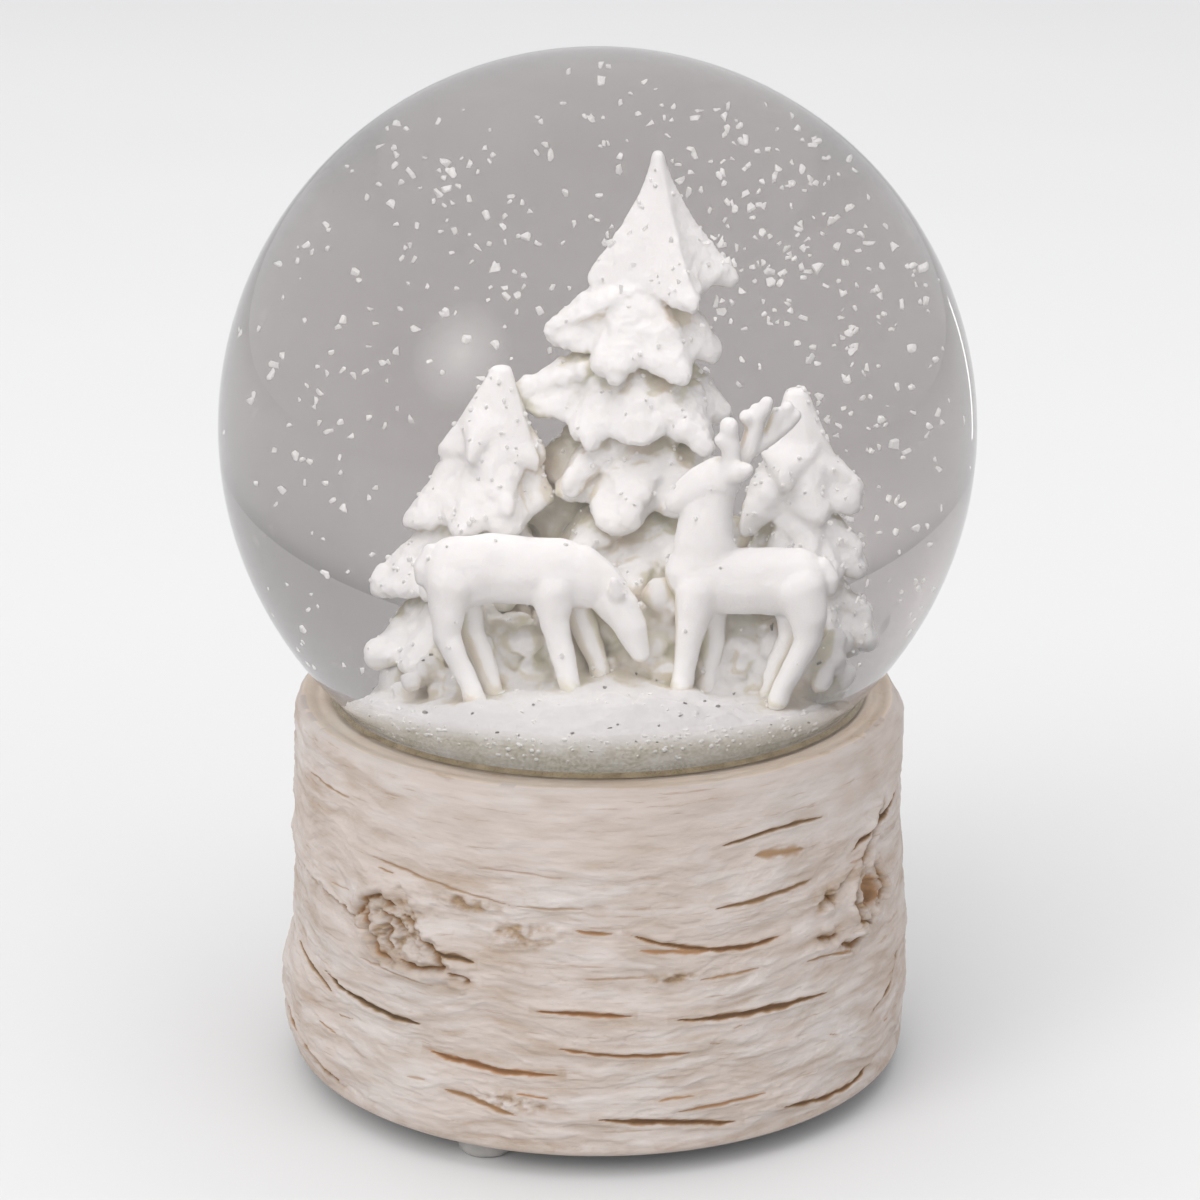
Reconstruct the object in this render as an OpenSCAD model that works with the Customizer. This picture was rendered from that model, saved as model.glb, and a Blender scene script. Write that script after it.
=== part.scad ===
// Musical snow globe: a water-filled glass globe with a winter forest, glued into a
// hollow birch-bark base that holds a wind-up comb movement and stands on three feet.
// Millimetres, +Z up, origin on the standing surface below the globe's axis.

/* [Globe] */
// Outer diameter of the glass globe
globe_d = 100; // [98:1:100]
// Thickness of the glass
glass_t = 2.2; // [1.8:0.1:2.4]
// Height of the globe's centre above the standing surface
globe_z = 88.6; // [88.4:0.1:88.8]
// Outer radius of the glass neck
neck_r = 31.6; // [31:0.1:32]

/* [Base] */
// Height of the rim that the globe sits in
rim_z = 52.7; // [52.4:0.1:53]
// Outer radius of the base at the rim
rim_r = 40.7; // [40.2:0.1:41.5]
// Outer radius of the base at its foot
base_r = 42.5; // [42:0.1:43.5]
// Radius of the hollow inside the base
cavity_r = 36; // [35.8:0.1:36.4]

/* [Feet] */
// Height of the rubber feet
foot_h = 4; // [4:0.1:4.4]
// Radius of a foot
foot_r = 3.75; // [3.4:0.05:4]
// Distance of the feet from the globe's axis
foot_ring_r = 36; // [35:0.1:36.1]

/* [Forest] */
// Radius of the snowy ground
ground_r = 28.2; // [27:0.1:28.4]
// Height of the ground's highest point above the standing surface
ground_top_z = 65.5; // [64:0.1:66]

/* [Movement] */
// Radius of the well that the winding key turns in
well_r = 15; // [14:0.1:15]
// Radius of the pinned cylinder
drum_r = 6.3; // [6:0.05:6.3]
// Number of comb teeth
comb_teeth = 18; // [12:1:18]

/* [Hidden] */
$fn = 64;
eps = 0.01;
gap = 0.05;

// The globe, its neck and the plug that closes it
globe_r = globe_d / 2;
neck_in_r = neck_r - glass_t;
neck_low_z = 42;
plug_top_z = 52;
plug_flange_t = 2;
plug_low_z = neck_low_z - plug_flange_t;

// The base's levels, from the bottom
cover_z = foot_h;
cover_t = 2;
cover_r = 40;
cover_top_z = cover_z + cover_t;
deck_z = 38;
boss_ring_r = 31.5;
boss_r = 3.5;
boss_top_z = 18;
boss_angles = [60, 180, 300];
screw_r = 1.2;
screw_head_r = 2.4;
screw_head_t = 1.2;
foot_angles = [246.2, 6.2, 126.2];

// The movement: key and barrel share one upright axis, the cylinder lies along X
key_x = -10.5;
key_y = 3;
well_roof_z = 11.5;
plate_z = 13;
plate_t = 1.5;
plate_top_z = plate_z + plate_t;
plate_x = [-25, 27];
plate_y = [-21, 21];
plate_posts = [[20, -14], [20, 14], [-19, -16]];
shaft_r = 1.6;
running = 0.06;

barrel_z = 17;
barrel_r = 10.3;
barrel_in_r = 9.5;
barrel_top_z = 28;
flange_r = 13.2;
flange_t = 1.2;

// Gears: teeth, module and face width of each mesh
crown_n = 48;
pinion_n = 14;
drive_m = 0.5;
crown_h = 1.2;
crown_in_r = 11.2;
crown_out_r = 13;
crown_pitch_z = barrel_z + flange_t + 0.7;
axis_z = crown_pitch_z + pinion_n * drive_m / 2;
train_gear_n = 40;
train_pinion_n = 8;
train_m = 0.35;
train_y = key_y + (train_gear_n + train_pinion_n) * train_m / 2 + 0.05;
worm_n = 20;
worm_m = 0.4;
worm_lead = PI * worm_m;
worm_r = 1.5;
worm_y = train_y + worm_n * worm_m / 2 + worm_r + 0.05;
worm_wheel_x = 23.3;
worm_wheel_w = 1;
fly_x = worm_wheel_x + worm_wheel_w / 2;
worm_z = [19.8, 25];

// The cylinder, its pins and the comb that they pluck
drum_x = [4.8, 20.8];
train_gear_x = 21.1;
train_gear_w = 1.2;
pin_h = 0.5;
pin_rows = 6;
comb_tip_y = key_y - drum_r - pin_h - 0.12;
comb_pitch = (drum_x[1] - drum_x[0]) / comb_teeth;
comb_heel_y = [-19, -12];
comb_heel_z = 21.5;
comb_screw_x = [8.8, 16.8];
comb_screw_y = (comb_heel_y[0] + comb_heel_y[1]) / 2;

// Places of the castings on the ground: [x, y] and, for a tree, its tiers from the lowest
// up as [height of the lower edge, radius, height of the tier]
tall_at = [4.5, 8];
left_at = [-12, 2];
right_at = [19.6, 4];
tall_tiers = [
    [67, 7.6, 15], [74, 8, 14], [81, 8, 14], [88, 7.8, 13], [95, 7.2, 11], [102, 6.4, 13.6]
];
left_tiers = [[66.5, 9.5, 12], [72.5, 8.8, 12], [79, 6.8, 9], [85.5, 5, 8.7]];
right_tiers = [[67.5, 6.7, 12], [74, 6.5, 10], [80.5, 6, 11]];
peg_r = 2;
peg_depth = 4;
doe_at = [-8.8, -10.5];
stag_at = [15.3, -9];
leg_r = 0.8;

// ---------------------------------------------------------------- shared shapes

// The dome that the snowy ground ends in, as the radius of its sphere
ground_edge_h = 5.5;
dome_drop = ground_top_z - plug_top_z - ground_edge_h;
dome_r = (ground_r * ground_r + dome_drop * dome_drop) / (2 * dome_drop);

function ground_z(at) = ground_top_z - dome_r + sqrt(dome_r * dome_r - at[0] * at[0] - at[1] * at[1]);

// Points of a gear with straight-sided teeth, the first tooth centred on angle turn
function gear_points(n, m, turn, add, ded, thick) =
    let (r = n * m / 2, step = 360 / n, half = thick * step / 2)
    [for (k = [0 : n - 1], p = [[-1, r - ded * m, 1.35], [-1, r, 1], [-1, r + add * m, 0.5],
                                [1, r + add * m, 0.5], [1, r, 1], [1, r - ded * m, 1.35]])
        let (a = turn + k * step + p[0] * p[2] * half) p[1] * [cos(a), sin(a)]];

// A gear round an axis along X, with its near face at x
module x_gear(x, w, y, z, n, m, turn, add = 0.85, ded = 1.15, thick = 0.36, bore = 0) {
    translate([x, y, z]) rotate([90, 0, 90]) difference() {
        linear_extrude(w) polygon(gear_points(n, m, turn, add, ded, thick));
        if (bore > 0) translate([0, 0, -1]) cylinder(r = bore, h = w + 2);
    }
}

// A rod along X between two places
module x_rod(x0, x1, y, z, r) {
    translate([x0, y, z]) rotate([0, 90, 0]) cylinder(r = r, h = x1 - x0);
}

// A ball-ended tapering limb between two points
module limb(a, b, ra, rb) {
    hull() {
        translate(a) sphere(r = ra, $fn = 14);
        translate(b) sphere(r = rb, $fn = 14);
    }
}

// One tier of a tree: a pointed cone with drooping ridges
module tier(z, r, h, ridges, turn) {
    star = [for (k = [0 : 2 * ridges - 1])
        let (a = turn + k * 180 / ridges) r * (k % 2 == 0 ? 1 : 0.72) * [cos(a), sin(a)]];
    translate([0, 0, z]) linear_extrude(height = h, scale = 0.06) polygon(star);
}

// A cast tree with its trunk's peg in the ground
module tree(at, tiers) {
    translate([at[0], at[1], 0]) {
        for (k = [0 : len(tiers) - 1])
            tier(tiers[k][0], tiers[k][1], tiers[k][2], 6, 17 * k);
        translate([0, 0, ground_z(at) - peg_depth + gap])
            cylinder(r = peg_r, h = tiers[0][0] - ground_z(at) + peg_depth + 1);
    }
}

// The hole for a peg in the ground
module socket(at, r) {
    translate([at[0], at[1], ground_z(at) - peg_depth]) cylinder(r = r + gap, h = 2 * peg_depth);
}

// A screw that points up, with its head's underside at z
module screw(x, y, z, length) {
    translate([x, y, z]) {
        cylinder(r = screw_r, h = length, $fn = 32);
        translate([0, 0, -screw_head_t]) difference() {
            cylinder(r = screw_head_r - 0.1, h = screw_head_t, $fn = 32);
            for (a = [0, 90]) rotate(a) translate([-1.4, -0.25, -eps]) cube([2.8, 0.5, 0.6]);
        }
    }
}

// The clearance hole and head recess for that screw
module screw_way(x, y, z, depth) {
    translate([x, y, z - 5]) cylinder(r = screw_head_r, h = 5, $fn = 32);
    translate([x, y, z - eps]) cylinder(r = screw_r + 0.1, h = depth, $fn = 32);
}

function on_ring(r, a) = [r * cos(a), r * sin(a)];

// ---------------------------------------------------------------- globe and forest

module glass_globe() {
    color([0.86, 0.9, 0.92, 0.3]) difference() {
        union() {
            translate([0, 0, globe_z]) sphere(r = globe_r, $fn = 128);
            translate([0, 0, neck_low_z]) cylinder(r = neck_r, h = 9);
        }
        translate([0, 0, globe_z]) sphere(r = globe_r - glass_t, $fn = 128);
        translate([0, 0, neck_low_z - 10]) cylinder(r = neck_in_r, h = 24);
    }
}

module rubber_stopper() {
    color("ivory") difference() {
        union() {
            translate([0, 0, plug_low_z]) cylinder(r = neck_r, h = plug_flange_t - gap);
            translate([0, 0, plug_low_z]) cylinder(r = neck_in_r - gap, h = plug_top_z - plug_low_z);
        }
        translate([0, 0, plug_low_z - 1]) cylinder(r = 24, h = 8);
    }
}

module water_fill() {
    color([0.8, 0.86, 0.9, 0.2]) difference() {
        translate([0, 0, globe_z]) sphere(r = globe_r - glass_t - gap, $fn = 128);
        translate([0, 0, plug_top_z - 20 + gap]) cylinder(r = globe_r, h = 20);
        ground_body(gap);
    }
}

// The ground without its sockets, grown by a margin
module ground_body(margin) {
    intersection() {
        translate([0, 0, plug_top_z - margin]) cylinder(r = ground_r + margin, h = 30);
        translate([0, 0, ground_top_z - dome_r]) sphere(r = dome_r + margin, $fn = 96);
    }
}

module snow_ground() {
    color("white") difference() {
        translate([0, 0, gap]) ground_body(0);
        for (at = [tall_at, left_at, right_at]) socket(at, peg_r);
        for (leg = doe_legs()) socket(leg, leg_r);
        for (leg = stag_legs()) socket(leg, leg_r);
    }
}

module tall_tree() { color("white") tree(tall_at, tall_tiers); }

module left_tree() { color("white") tree(left_at, left_tiers); }

module right_tree() { color("white") tree(right_at, right_tiers); }

// Where a deer's feet stand: along its body and to each side of it
function legs_at(at, ahead, behind, apart) =
    [for (dx = [ahead, behind], side = [-1, 1]) [at[0] + dx + side * 0.6, at[1] + side * apart]];
function doe_legs() = legs_at(doe_at, 5.2, -5.2, 1.7);
function stag_legs() = legs_at(stag_at, -5.4, 5.2, 1.8);

// The body and legs that both deer share, with the withers towards front (-1 or 1)
module deer_body(at, legs, front, back_z) {
    limb([at[0] - front * 4.6, at[1], back_z - 3.4], [at[0] + front * 4.6, at[1], back_z - 3.2], 3.2, 3.1);
    for (leg = legs)
        translate([leg[0], leg[1], ground_z(leg) - 2])
            cylinder(r = leg_r, h = back_z - ground_z(leg) - 1, $fn = 24);
}

module doe() {
    x = doe_at[0];
    y = doe_at[1];
    color("white") {
        deer_body(doe_at, doe_legs(), 1, 79.8);
        limb([x + 6, y, 76.8], [x + 10.2, y - 0.4, 72.4], 2.1, 1.4);
        limb([x + 10.4, y - 0.4, 72], [x + 13, y - 0.6, 68.4], 1.5, 0.8);
        limb([x + 9.8, y - 1.6, 73], [x + 9.2, y - 2.6, 75], 0.5, 0.3);
    }
}

module stag() {
    x = stag_at[0];
    y = stag_at[1];
    color("white") {
        deer_body(stag_at, stag_legs(), -1, 78.6);
        limb([x - 5.6, y, 75.6], [x - 4.2, y, 84], 2.3, 1.6);
        limb([x - 3.9, y, 85.8], [x - 7.2, y, 83.8], 1.6, 0.8);
        for (side = [-1, 1]) {
            limb([x - 3.2, y + side, 86.8], [x - 0.6, y + side * 2.6, 89.8], 0.55, 0.5);
            limb([x - 0.6, y + side * 2.6, 89.8], [x + 0.8, y + side * 3, 94], 0.5, 0.35);
            limb([x - 0.6, y + side * 2.6, 89.8], [x - 2, y + side * 3.2, 92.4], 0.45, 0.3);
        }
    }
}

// Flakes adrift in the clear water round the forest, along a golden-angle spiral
module snow_flakes() {
    count = 48;
    color("white") for (k = [0 : count - 1]) {
        up = -0.45 + 1.35 * (k + 0.5) / count;
        a = k * 137.508;
        r = 39 + 5.5 * ((k * 7) % count) / count;
        flat = r * sqrt(1 - up * up);
        translate([flat * cos(a), flat * sin(a), globe_z + r * up])
            rotate([k * 53, k * 31, 0]) cylinder(r = 0.55, h = 0.25, $fn = 6);
    }
}

// ---------------------------------------------------------------- base

module bark_base() {
    outline = [
        [0, cover_z], [base_r - 0.6, cover_z], [base_r - 0.1, cover_z + 0.6], [base_r, cover_z + 5],
        [base_r - 0.9, cover_z + 16], [rim_r + 0.4, cover_z + 32], [rim_r, rim_z - 2.2],
        [rim_r - 0.6, rim_z - 0.7], [rim_r - 1.6, rim_z], [0, rim_z]
    ];
    color("linen") difference() {
        rotate_extrude($fn = 128) polygon(outline);
        translate([0, 0, globe_z]) sphere(r = globe_r + 0.15, $fn = 128);
        translate([0, 0, deck_z - 1]) cylinder(r = neck_r + 1, h = rim_z);
        translate([0, 0, cover_z - 1]) cylinder(r = cover_r + 0.1, h = cover_t + 1);
        difference() {
            translate([0, 0, cover_top_z - eps]) cylinder(r = cavity_r, h = deck_z - cover_top_z);
            for (a = boss_angles) screw_boss(a);
        }
        for (a = boss_angles) {
            at = on_ring(boss_ring_r, a);
            translate([at[0], at[1], 0]) cylinder(r = screw_r + 0.03, h = boss_top_z - 2, $fn = 32);
        }
    }
}

// A boss for a cover screw, with the web that joins it to the wall
module screw_boss(a) {
    rotate(a) {
        translate([boss_ring_r, 0, 0]) cylinder(r = boss_r, h = boss_top_z, $fn = 48);
        translate([boss_ring_r, -1.5, 0]) cube([cavity_r - boss_ring_r + 1, 3, boss_top_z]);
    }
}

module seat_adhesive() {
    bead_r = sqrt(globe_r * globe_r - (globe_z - rim_z) * (globe_z - rim_z));
    color("olive") rotate_extrude($fn = 128)
        polygon([[bead_r + 0.3, rim_z + gap], [bead_r + 1.4, rim_z + gap], [bead_r + 0.95, rim_z + 0.6]]);
}

module bottom_cover() {
    post_h = plate_z - cover_z - gap;
    color("gainsboro") difference() {
        union() {
            translate([0, 0, cover_z]) cylinder(r = cover_r, h = cover_t - gap, $fn = 96);
            translate([key_x, key_y, cover_z]) cylinder(r = well_r + 1.5, h = post_h, $fn = 96);
            for (at = plate_posts)
                translate([at[0], at[1], cover_z]) cylinder(r = 3.2, h = post_h, $fn = 48);
        }
        translate([key_x, key_y, cover_z - 1]) cylinder(r = well_r, h = well_roof_z - cover_z + 1, $fn = 96);
        translate([key_x, key_y, cover_z]) cylinder(r = 3.7, h = 20);
        for (at = plate_posts) screw_way(at[0], at[1], cover_z + 1.3, 20);
        for (a = boss_angles) {
            at = on_ring(boss_ring_r, a);
            screw_way(at[0], at[1], cover_z + 1.3, 20);
        }
    }
}

module cover_screws() {
    color("silver") for (a = boss_angles) {
        at = on_ring(boss_ring_r, a);
        screw(at[0], at[1], cover_z + 1.3, 9);
    }
}

// A rubber foot, rounded where it meets the surface
module foot(k) {
    at = on_ring(foot_ring_r, foot_angles[k]);
    color("gray") translate([at[0], at[1], 0]) rotate_extrude($fn = 64) difference() {
        square([foot_r, foot_h - gap / 5]);
        difference() {
            translate([foot_r - 1, -1]) square([2, 2]);
            translate([foot_r - 1, 1]) circle(r = 1, $fn = 32);
        }
    }
}

module front_foot() { foot(0); }

module right_foot() { foot(1); }

module rear_foot() { foot(2); }

// ---------------------------------------------------------------- fixed parts of the movement

module movement_plate() {
    color("silver") difference() {
        translate([plate_x[0], plate_y[0], plate_z])
            cube([plate_x[1] - plate_x[0], plate_y[1] - plate_y[0], plate_t]);
        translate([key_x, key_y, plate_z - 1]) cylinder(r = shaft_r + running, h = plate_t + 2);
        for (at = plate_posts)
            translate([at[0], at[1], plate_z - 1]) cylinder(r = screw_r + 0.03, h = plate_t + 2, $fn = 32);
        translate([fly_x, worm_y, plate_z + 0.6]) cylinder(r = 0.45 + running, h = plate_t, $fn = 32);
    }
}

module movement_screws() {
    color("silver") for (at = plate_posts) screw(at[0], at[1], cover_z + 1.3, plate_top_z - cover_z - 1.3);
}

// A wrap spring that lets the shaft turn one way, anchored to a stud in the plate
module click_spring() {
    stud = [key_x + 6.5, key_y - 6.5];
    color("goldenrod") {
        for (k = [0 : 2])
            translate([key_x, key_y, plate_top_z + 0.45 + 0.65 * k])
                rotate_extrude() translate([shaft_r + 0.5, 0]) circle(r = 0.35, $fn = 24);
        translate([key_x + 2.1, key_y, plate_top_z + 1.1]) rotate([90, 0, 34]) cylinder(r = 0.35, h = 7.9, $fn = 24);
        translate([stud[0], stud[1], plate_top_z + gap]) cylinder(r = 0.9, h = 1.7, $fn = 32);
    }
}

// The two posts that the cylinder's shaft runs in
module cylinder_bearings() {
    color("silver") for (x = [3.2, 23]) difference() {
        union() {
            translate([x, key_y - 1.6, plate_top_z + gap / 5]) cube([1, 3.2, axis_z - plate_top_z]);
            x_rod(x, x + 1, key_y, axis_z, 1.6);
        }
        x_rod(x - 1, x + 2, key_y, axis_z, 0.8 + running);
    }
}

module comb_bed() {
    depth = comb_heel_y[1] - comb_heel_y[0];
    color("darkgray") difference() {
        translate([drum_x[0], comb_heel_y[0], plate_top_z + gap / 5])
            cube([drum_x[1] - drum_x[0], depth, comb_heel_z - plate_top_z - gap]);
        for (x = comb_screw_x)
            translate([x, comb_screw_y, comb_heel_z - 4]) cylinder(r = 0.95, h = 5, $fn = 32);
    }
}

module tune_comb() {
    color("lightsteelblue") difference() {
        union() {
            translate([drum_x[0], comb_heel_y[0], comb_heel_z])
                cube([drum_x[1] - drum_x[0], comb_heel_y[1] - comb_heel_y[0], 1.6]);
            for (k = [0 : comb_teeth - 1])
                translate([drum_x[0] + (k + 0.5) * comb_pitch - 0.32, comb_heel_y[1] - 1, axis_z - 0.4])
                    cube([0.64, comb_tip_y - comb_heel_y[1] + 1, 0.6]);
        }
        for (x = comb_screw_x)
            translate([x, comb_screw_y, comb_heel_z - 1]) cylinder(r = 1, h = 4, $fn = 32);
    }
}

module comb_screws() {
    color("silver") for (x = comb_screw_x)
        translate([x, comb_screw_y, comb_heel_z - 3.5]) {
            cylinder(r = 0.9, h = 5.2, $fn = 32);
            translate([0, 0, 5.2]) difference() {
                cylinder(r = 1.9, h = 1.2, $fn = 32);
                translate([-2, -0.25, 0.7]) cube([4, 0.5, 1]);
            }
        }
}

// The bracket that carries the governor's arbor and the top of the fly's shaft
module governor_frame() {
    right_x = 25.6;
    top_z = 30.4;
    floor_z = plate_top_z + gap / 5;
    color("silver") difference() {
        union() {
            translate([19.1, train_y - 1.2, floor_z]) cube([1, 2.4, axis_z - floor_z + 1.2]);
            translate([right_x, train_y - 1.2, floor_z]) cube([1, 2.4, top_z - floor_z]);
            translate([19.1, train_y - 1.2, floor_z]) cube([right_x - 18.1, 2.4, 0.8]);
            translate([fly_x - 1.2, train_y - 1.2, top_z])
                cube([right_x + 2.2 - fly_x, worm_y - train_y + 2.4, 0.8]);
        }
        x_rod(18, right_x + 2, train_y, axis_z, 0.4 + running);
        translate([fly_x, worm_y, top_z - 1]) cylinder(r = 0.4 + running, h = 3, $fn = 32);
    }
}

// ---------------------------------------------------------------- moving parts of the movement

module winding_key() {
    wing_z = 5.4;
    wing_t = 1.8;
    color("silver") difference() {
        union() {
            translate([key_x, key_y, wing_z]) cylinder(r = 3, h = well_roof_z + 1 - wing_z);
            translate([key_x, key_y + wing_t / 2, wing_z]) rotate([90, 0, 0]) linear_extrude(wing_t) union() {
                for (side = [-1, 1]) translate([side * 7.2, 0]) circle(r = 4.2, $fn = 48);
                translate([-7.2, -2.6]) square([14.4, 5.2]);
            }
        }
        translate([key_x, key_y, wing_z + 2]) cylinder(r = shaft_r + 0.02, h = 10);
    }
}

module winding_shaft() {
    color("gray") translate([key_x, key_y, 7.5]) {
        cylinder(r = shaft_r, h = barrel_top_z - 5.5);
        translate([0, -0.5, barrel_z - 7.5 + 3]) cube([shaft_r + 0.35, 1, 4]);
    }
}

// The spring barrel, with crown teeth on the top of its flange
module spring_barrel() {
    pitch = PI * drive_m;
    tooth = [[-0.4, -0.2], [0.4, -0.2], [0.36, 0], [0.12, crown_h], [-0.12, crown_h], [-0.36, 0]];
    color("gold") translate([key_x, key_y, barrel_z]) difference() {
        union() {
            cylinder(r = flange_r, h = flange_t, $fn = 96);
            cylinder(r = barrel_r, h = barrel_top_z - barrel_z, $fn = 96);
            for (k = [0 : crown_n - 1]) rotate((k + 0.5) * 360 / crown_n)
                translate([crown_in_r, 0, flange_t]) rotate([90, 0, 90])
                    linear_extrude(crown_out_r - crown_in_r) polygon(pitch / 1.571 * tooth);
        }
        translate([0, 0, flange_t]) cylinder(r = barrel_in_r, h = barrel_top_z, $fn = 96);
        translate([0, 0, -1]) cylinder(r = shaft_r + running, h = 4);
    }
}

module barrel_cap() {
    color("gold") translate([key_x, key_y, barrel_top_z + eps]) difference() {
        cylinder(r = barrel_r, h = 0.8, $fn = 96);
        translate([0, 0, -1]) cylinder(r = shaft_r + running, h = 3);
    }
}

// A flat spiral that winds from the shaft's hook out to the barrel's wall
module mainspring() {
    turns = 7;
    thick = 0.3;
    steps = 28;
    in_r = shaft_r + 0.6;
    out_r = barrel_in_r - thick - 0.1;
    last = turns * steps;
    function at(k, r) = let (t = k / last, a = 360 * turns * t)
        (in_r + (out_r - in_r) * t + r) * [cos(a), sin(a)];
    color("steelblue") translate([key_x, key_y, barrel_z + flange_t + 0.4])
        linear_extrude(barrel_top_z - barrel_z - flange_t - 0.8)
            polygon(concat([for (k = [0 : last]) at(k, 0)], [for (k = [0 : last]) at(last - k, thick)]));
}

module cylinder_shaft() {
    color("gray") x_rod(0.3, 24.2, key_y, axis_z, 0.8);
}

module drive_pinion() {
    color("gold") x_gear(key_x + crown_in_r - 0.2, 2.1, key_y, axis_z, pinion_n, drive_m, -90,
        add = 0.8, ded = 1.2, thick = 0.32, bore = 0.82);
}

module tune_cylinder() {
    color("gold") difference() {
        x_rod(drum_x[0], drum_x[1], key_y, axis_z, drum_r);
        x_rod(drum_x[0] - 1, drum_x[1] + 1, key_y, axis_z, 0.82);
    }
}

// Pins in line with the comb's teeth, spread round the cylinder by a stepping rule
module tune_pins() {
    color("gold") for (k = [0 : comb_teeth - 1], row = [0 : pin_rows - 1]) {
        a = 360 * row / pin_rows + ((k * 11 + row * 5) % 17) * 3;
        translate([drum_x[0] + (k + 0.5) * comb_pitch, key_y, axis_z]) rotate([a, 0, 0])
            translate([0, 0, drum_r - 0.3]) cylinder(r = 0.2, h = pin_h + 0.3, $fn = 16);
    }
}

module cylinder_gear() {
    color("gold") x_gear(train_gear_x, train_gear_w, key_y, axis_z, train_gear_n, train_m, 0, bore = 0.82);
}

module governor_arbor() {
    color("gray") x_rod(19.1, 26.6, train_y, axis_z, 0.4);
}

module governor_pinion() {
    color("gold") x_gear(train_gear_x - 0.1, train_gear_w + 0.2, train_y, axis_z, train_pinion_n, train_m,
        180 / train_pinion_n, thick = 0.3, bore = 0.42);
}

module worm_wheel() {
    color("gold") x_gear(worm_wheel_x, worm_wheel_w, train_y, axis_z, worm_n, worm_m, 0,
        add = 0.8, ded = 1.1, thick = 0.32, bore = 0.42);
}

module fly_shaft() {
    color("gray") translate([fly_x, worm_y, plate_z + 0.7]) cylinder(r = 0.4, h = 17.5, $fn = 32);
}

// A single right-hand thread, its gap facing the worm wheel at the arbor's height
module fly_worm() {
    start = 90 - 360 * (axis_z - worm_z[0]) / worm_lead;
    thread = [for (p = [[0.95, -180], [0.95, -135], [1.05, -90], [1.5, -50], [1.85, -24], [1.85, 24],
                        [1.5, 50], [1.05, 90], [0.95, 135]]) p[0] * [cos(p[1]), sin(p[1])]];
    height = worm_z[1] - worm_z[0];
    color("white") translate([fly_x, worm_y, worm_z[0]]) rotate(start) difference() {
        linear_extrude(height = height, twist = -360 * height / worm_lead, slices = 60, $fn = 12)
            polygon(thread);
        translate([0, 0, -1]) cylinder(r = 0.42, h = height + 2, $fn = 24);
    }
}

module fly_paddles() {
    color("white") translate([fly_x, worm_y, 27]) difference() {
        union() {
            cylinder(r = 1, h = 3, $fn = 32);
            for (a = [0, 180]) rotate(a) translate([0, -0.15, 0]) cube([3.4, 0.3, 3]);
        }
        translate([0, 0, -1]) cylinder(r = 0.42, h = 6, $fn = 32);
    }
}

glass_globe();
rubber_stopper();
water_fill();
snow_ground();
tall_tree();
left_tree();
right_tree();
stag();
doe();
snow_flakes();
bark_base();
seat_adhesive();
bottom_cover();
cover_screws();
front_foot();
right_foot();
rear_foot();
movement_plate();
movement_screws();
click_spring();
cylinder_bearings();
comb_bed();
tune_comb();
comb_screws();
governor_frame();
winding_key();
winding_shaft();
spring_barrel();
barrel_cap();
mainspring();
cylinder_shaft();
drive_pinion();
tune_cylinder();
tune_pins();
cylinder_gear();
governor_arbor();
governor_pinion();
worm_wheel();
fly_shaft();
fly_worm();
fly_paddles();
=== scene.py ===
"""The musical snow globe as it looks: bark, glass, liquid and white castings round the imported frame."""

import math
from types import SimpleNamespace

import bpy
import numpy as np
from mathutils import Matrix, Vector


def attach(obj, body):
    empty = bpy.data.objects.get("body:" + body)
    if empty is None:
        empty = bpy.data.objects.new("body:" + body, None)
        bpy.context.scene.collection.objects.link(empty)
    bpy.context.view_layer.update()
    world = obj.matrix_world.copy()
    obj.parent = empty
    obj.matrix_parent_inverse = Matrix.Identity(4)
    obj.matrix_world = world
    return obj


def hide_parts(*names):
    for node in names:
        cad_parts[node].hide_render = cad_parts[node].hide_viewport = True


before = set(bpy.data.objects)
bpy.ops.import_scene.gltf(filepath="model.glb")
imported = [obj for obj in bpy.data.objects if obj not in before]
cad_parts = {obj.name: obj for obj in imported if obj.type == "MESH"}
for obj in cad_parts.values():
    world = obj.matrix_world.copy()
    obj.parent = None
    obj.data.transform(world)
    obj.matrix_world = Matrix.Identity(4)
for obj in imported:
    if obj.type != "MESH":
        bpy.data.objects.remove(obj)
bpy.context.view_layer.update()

MM = 0.001
ROOT = "globe_and_base"
GLOBE_Z = 88.6  # height of the globe's centre, mm
SEAT_R = 50.15  # radius of the round seat under the globe
GLASS_OUT, GLASS_IN = 50.0, 47.8  # radii of the glass
NECK_OUT, NECK_IN, NECK_LOW = 31.6, 29.4, 42.05  # radii of its neck, and the height of its mouth
WALL_LOW, WALL_TOP, WALL_MEAN = 3.9, 51.4, 41.5  # the bark wall's ends and its middle radius
BARK_COLS, BARK_ROWS = 900, 300
DOME_TOP, DOME_R, MOUND_LOW = 65.5, 53.7, 52.3  # top and radius of the snowy dome, its underside
ADRIFT, ON_TREE, ON_DEER, ON_SNOW, ON_EDGE = 600, 260, 24, 210, 120  # how many flakes and grains
rng = np.random.default_rng(20)

# ------------------------------------------------------------------ noise and meshes


def lattice(ix, iy, iz, seed):
    """A repeatable value from -1 to 1 for each whole-number place."""
    h = (ix * 374761393 + iy * 668265263 + iz * 1274126177 + seed * 974634777) & 0xFFFFFFFF
    h = ((h ^ (h >> 13)) * 1274126177) & 0xFFFFFFFF
    return ((h ^ (h >> 16)) & 0xFFFFFF) / 8388607.5 - 1.0


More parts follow.
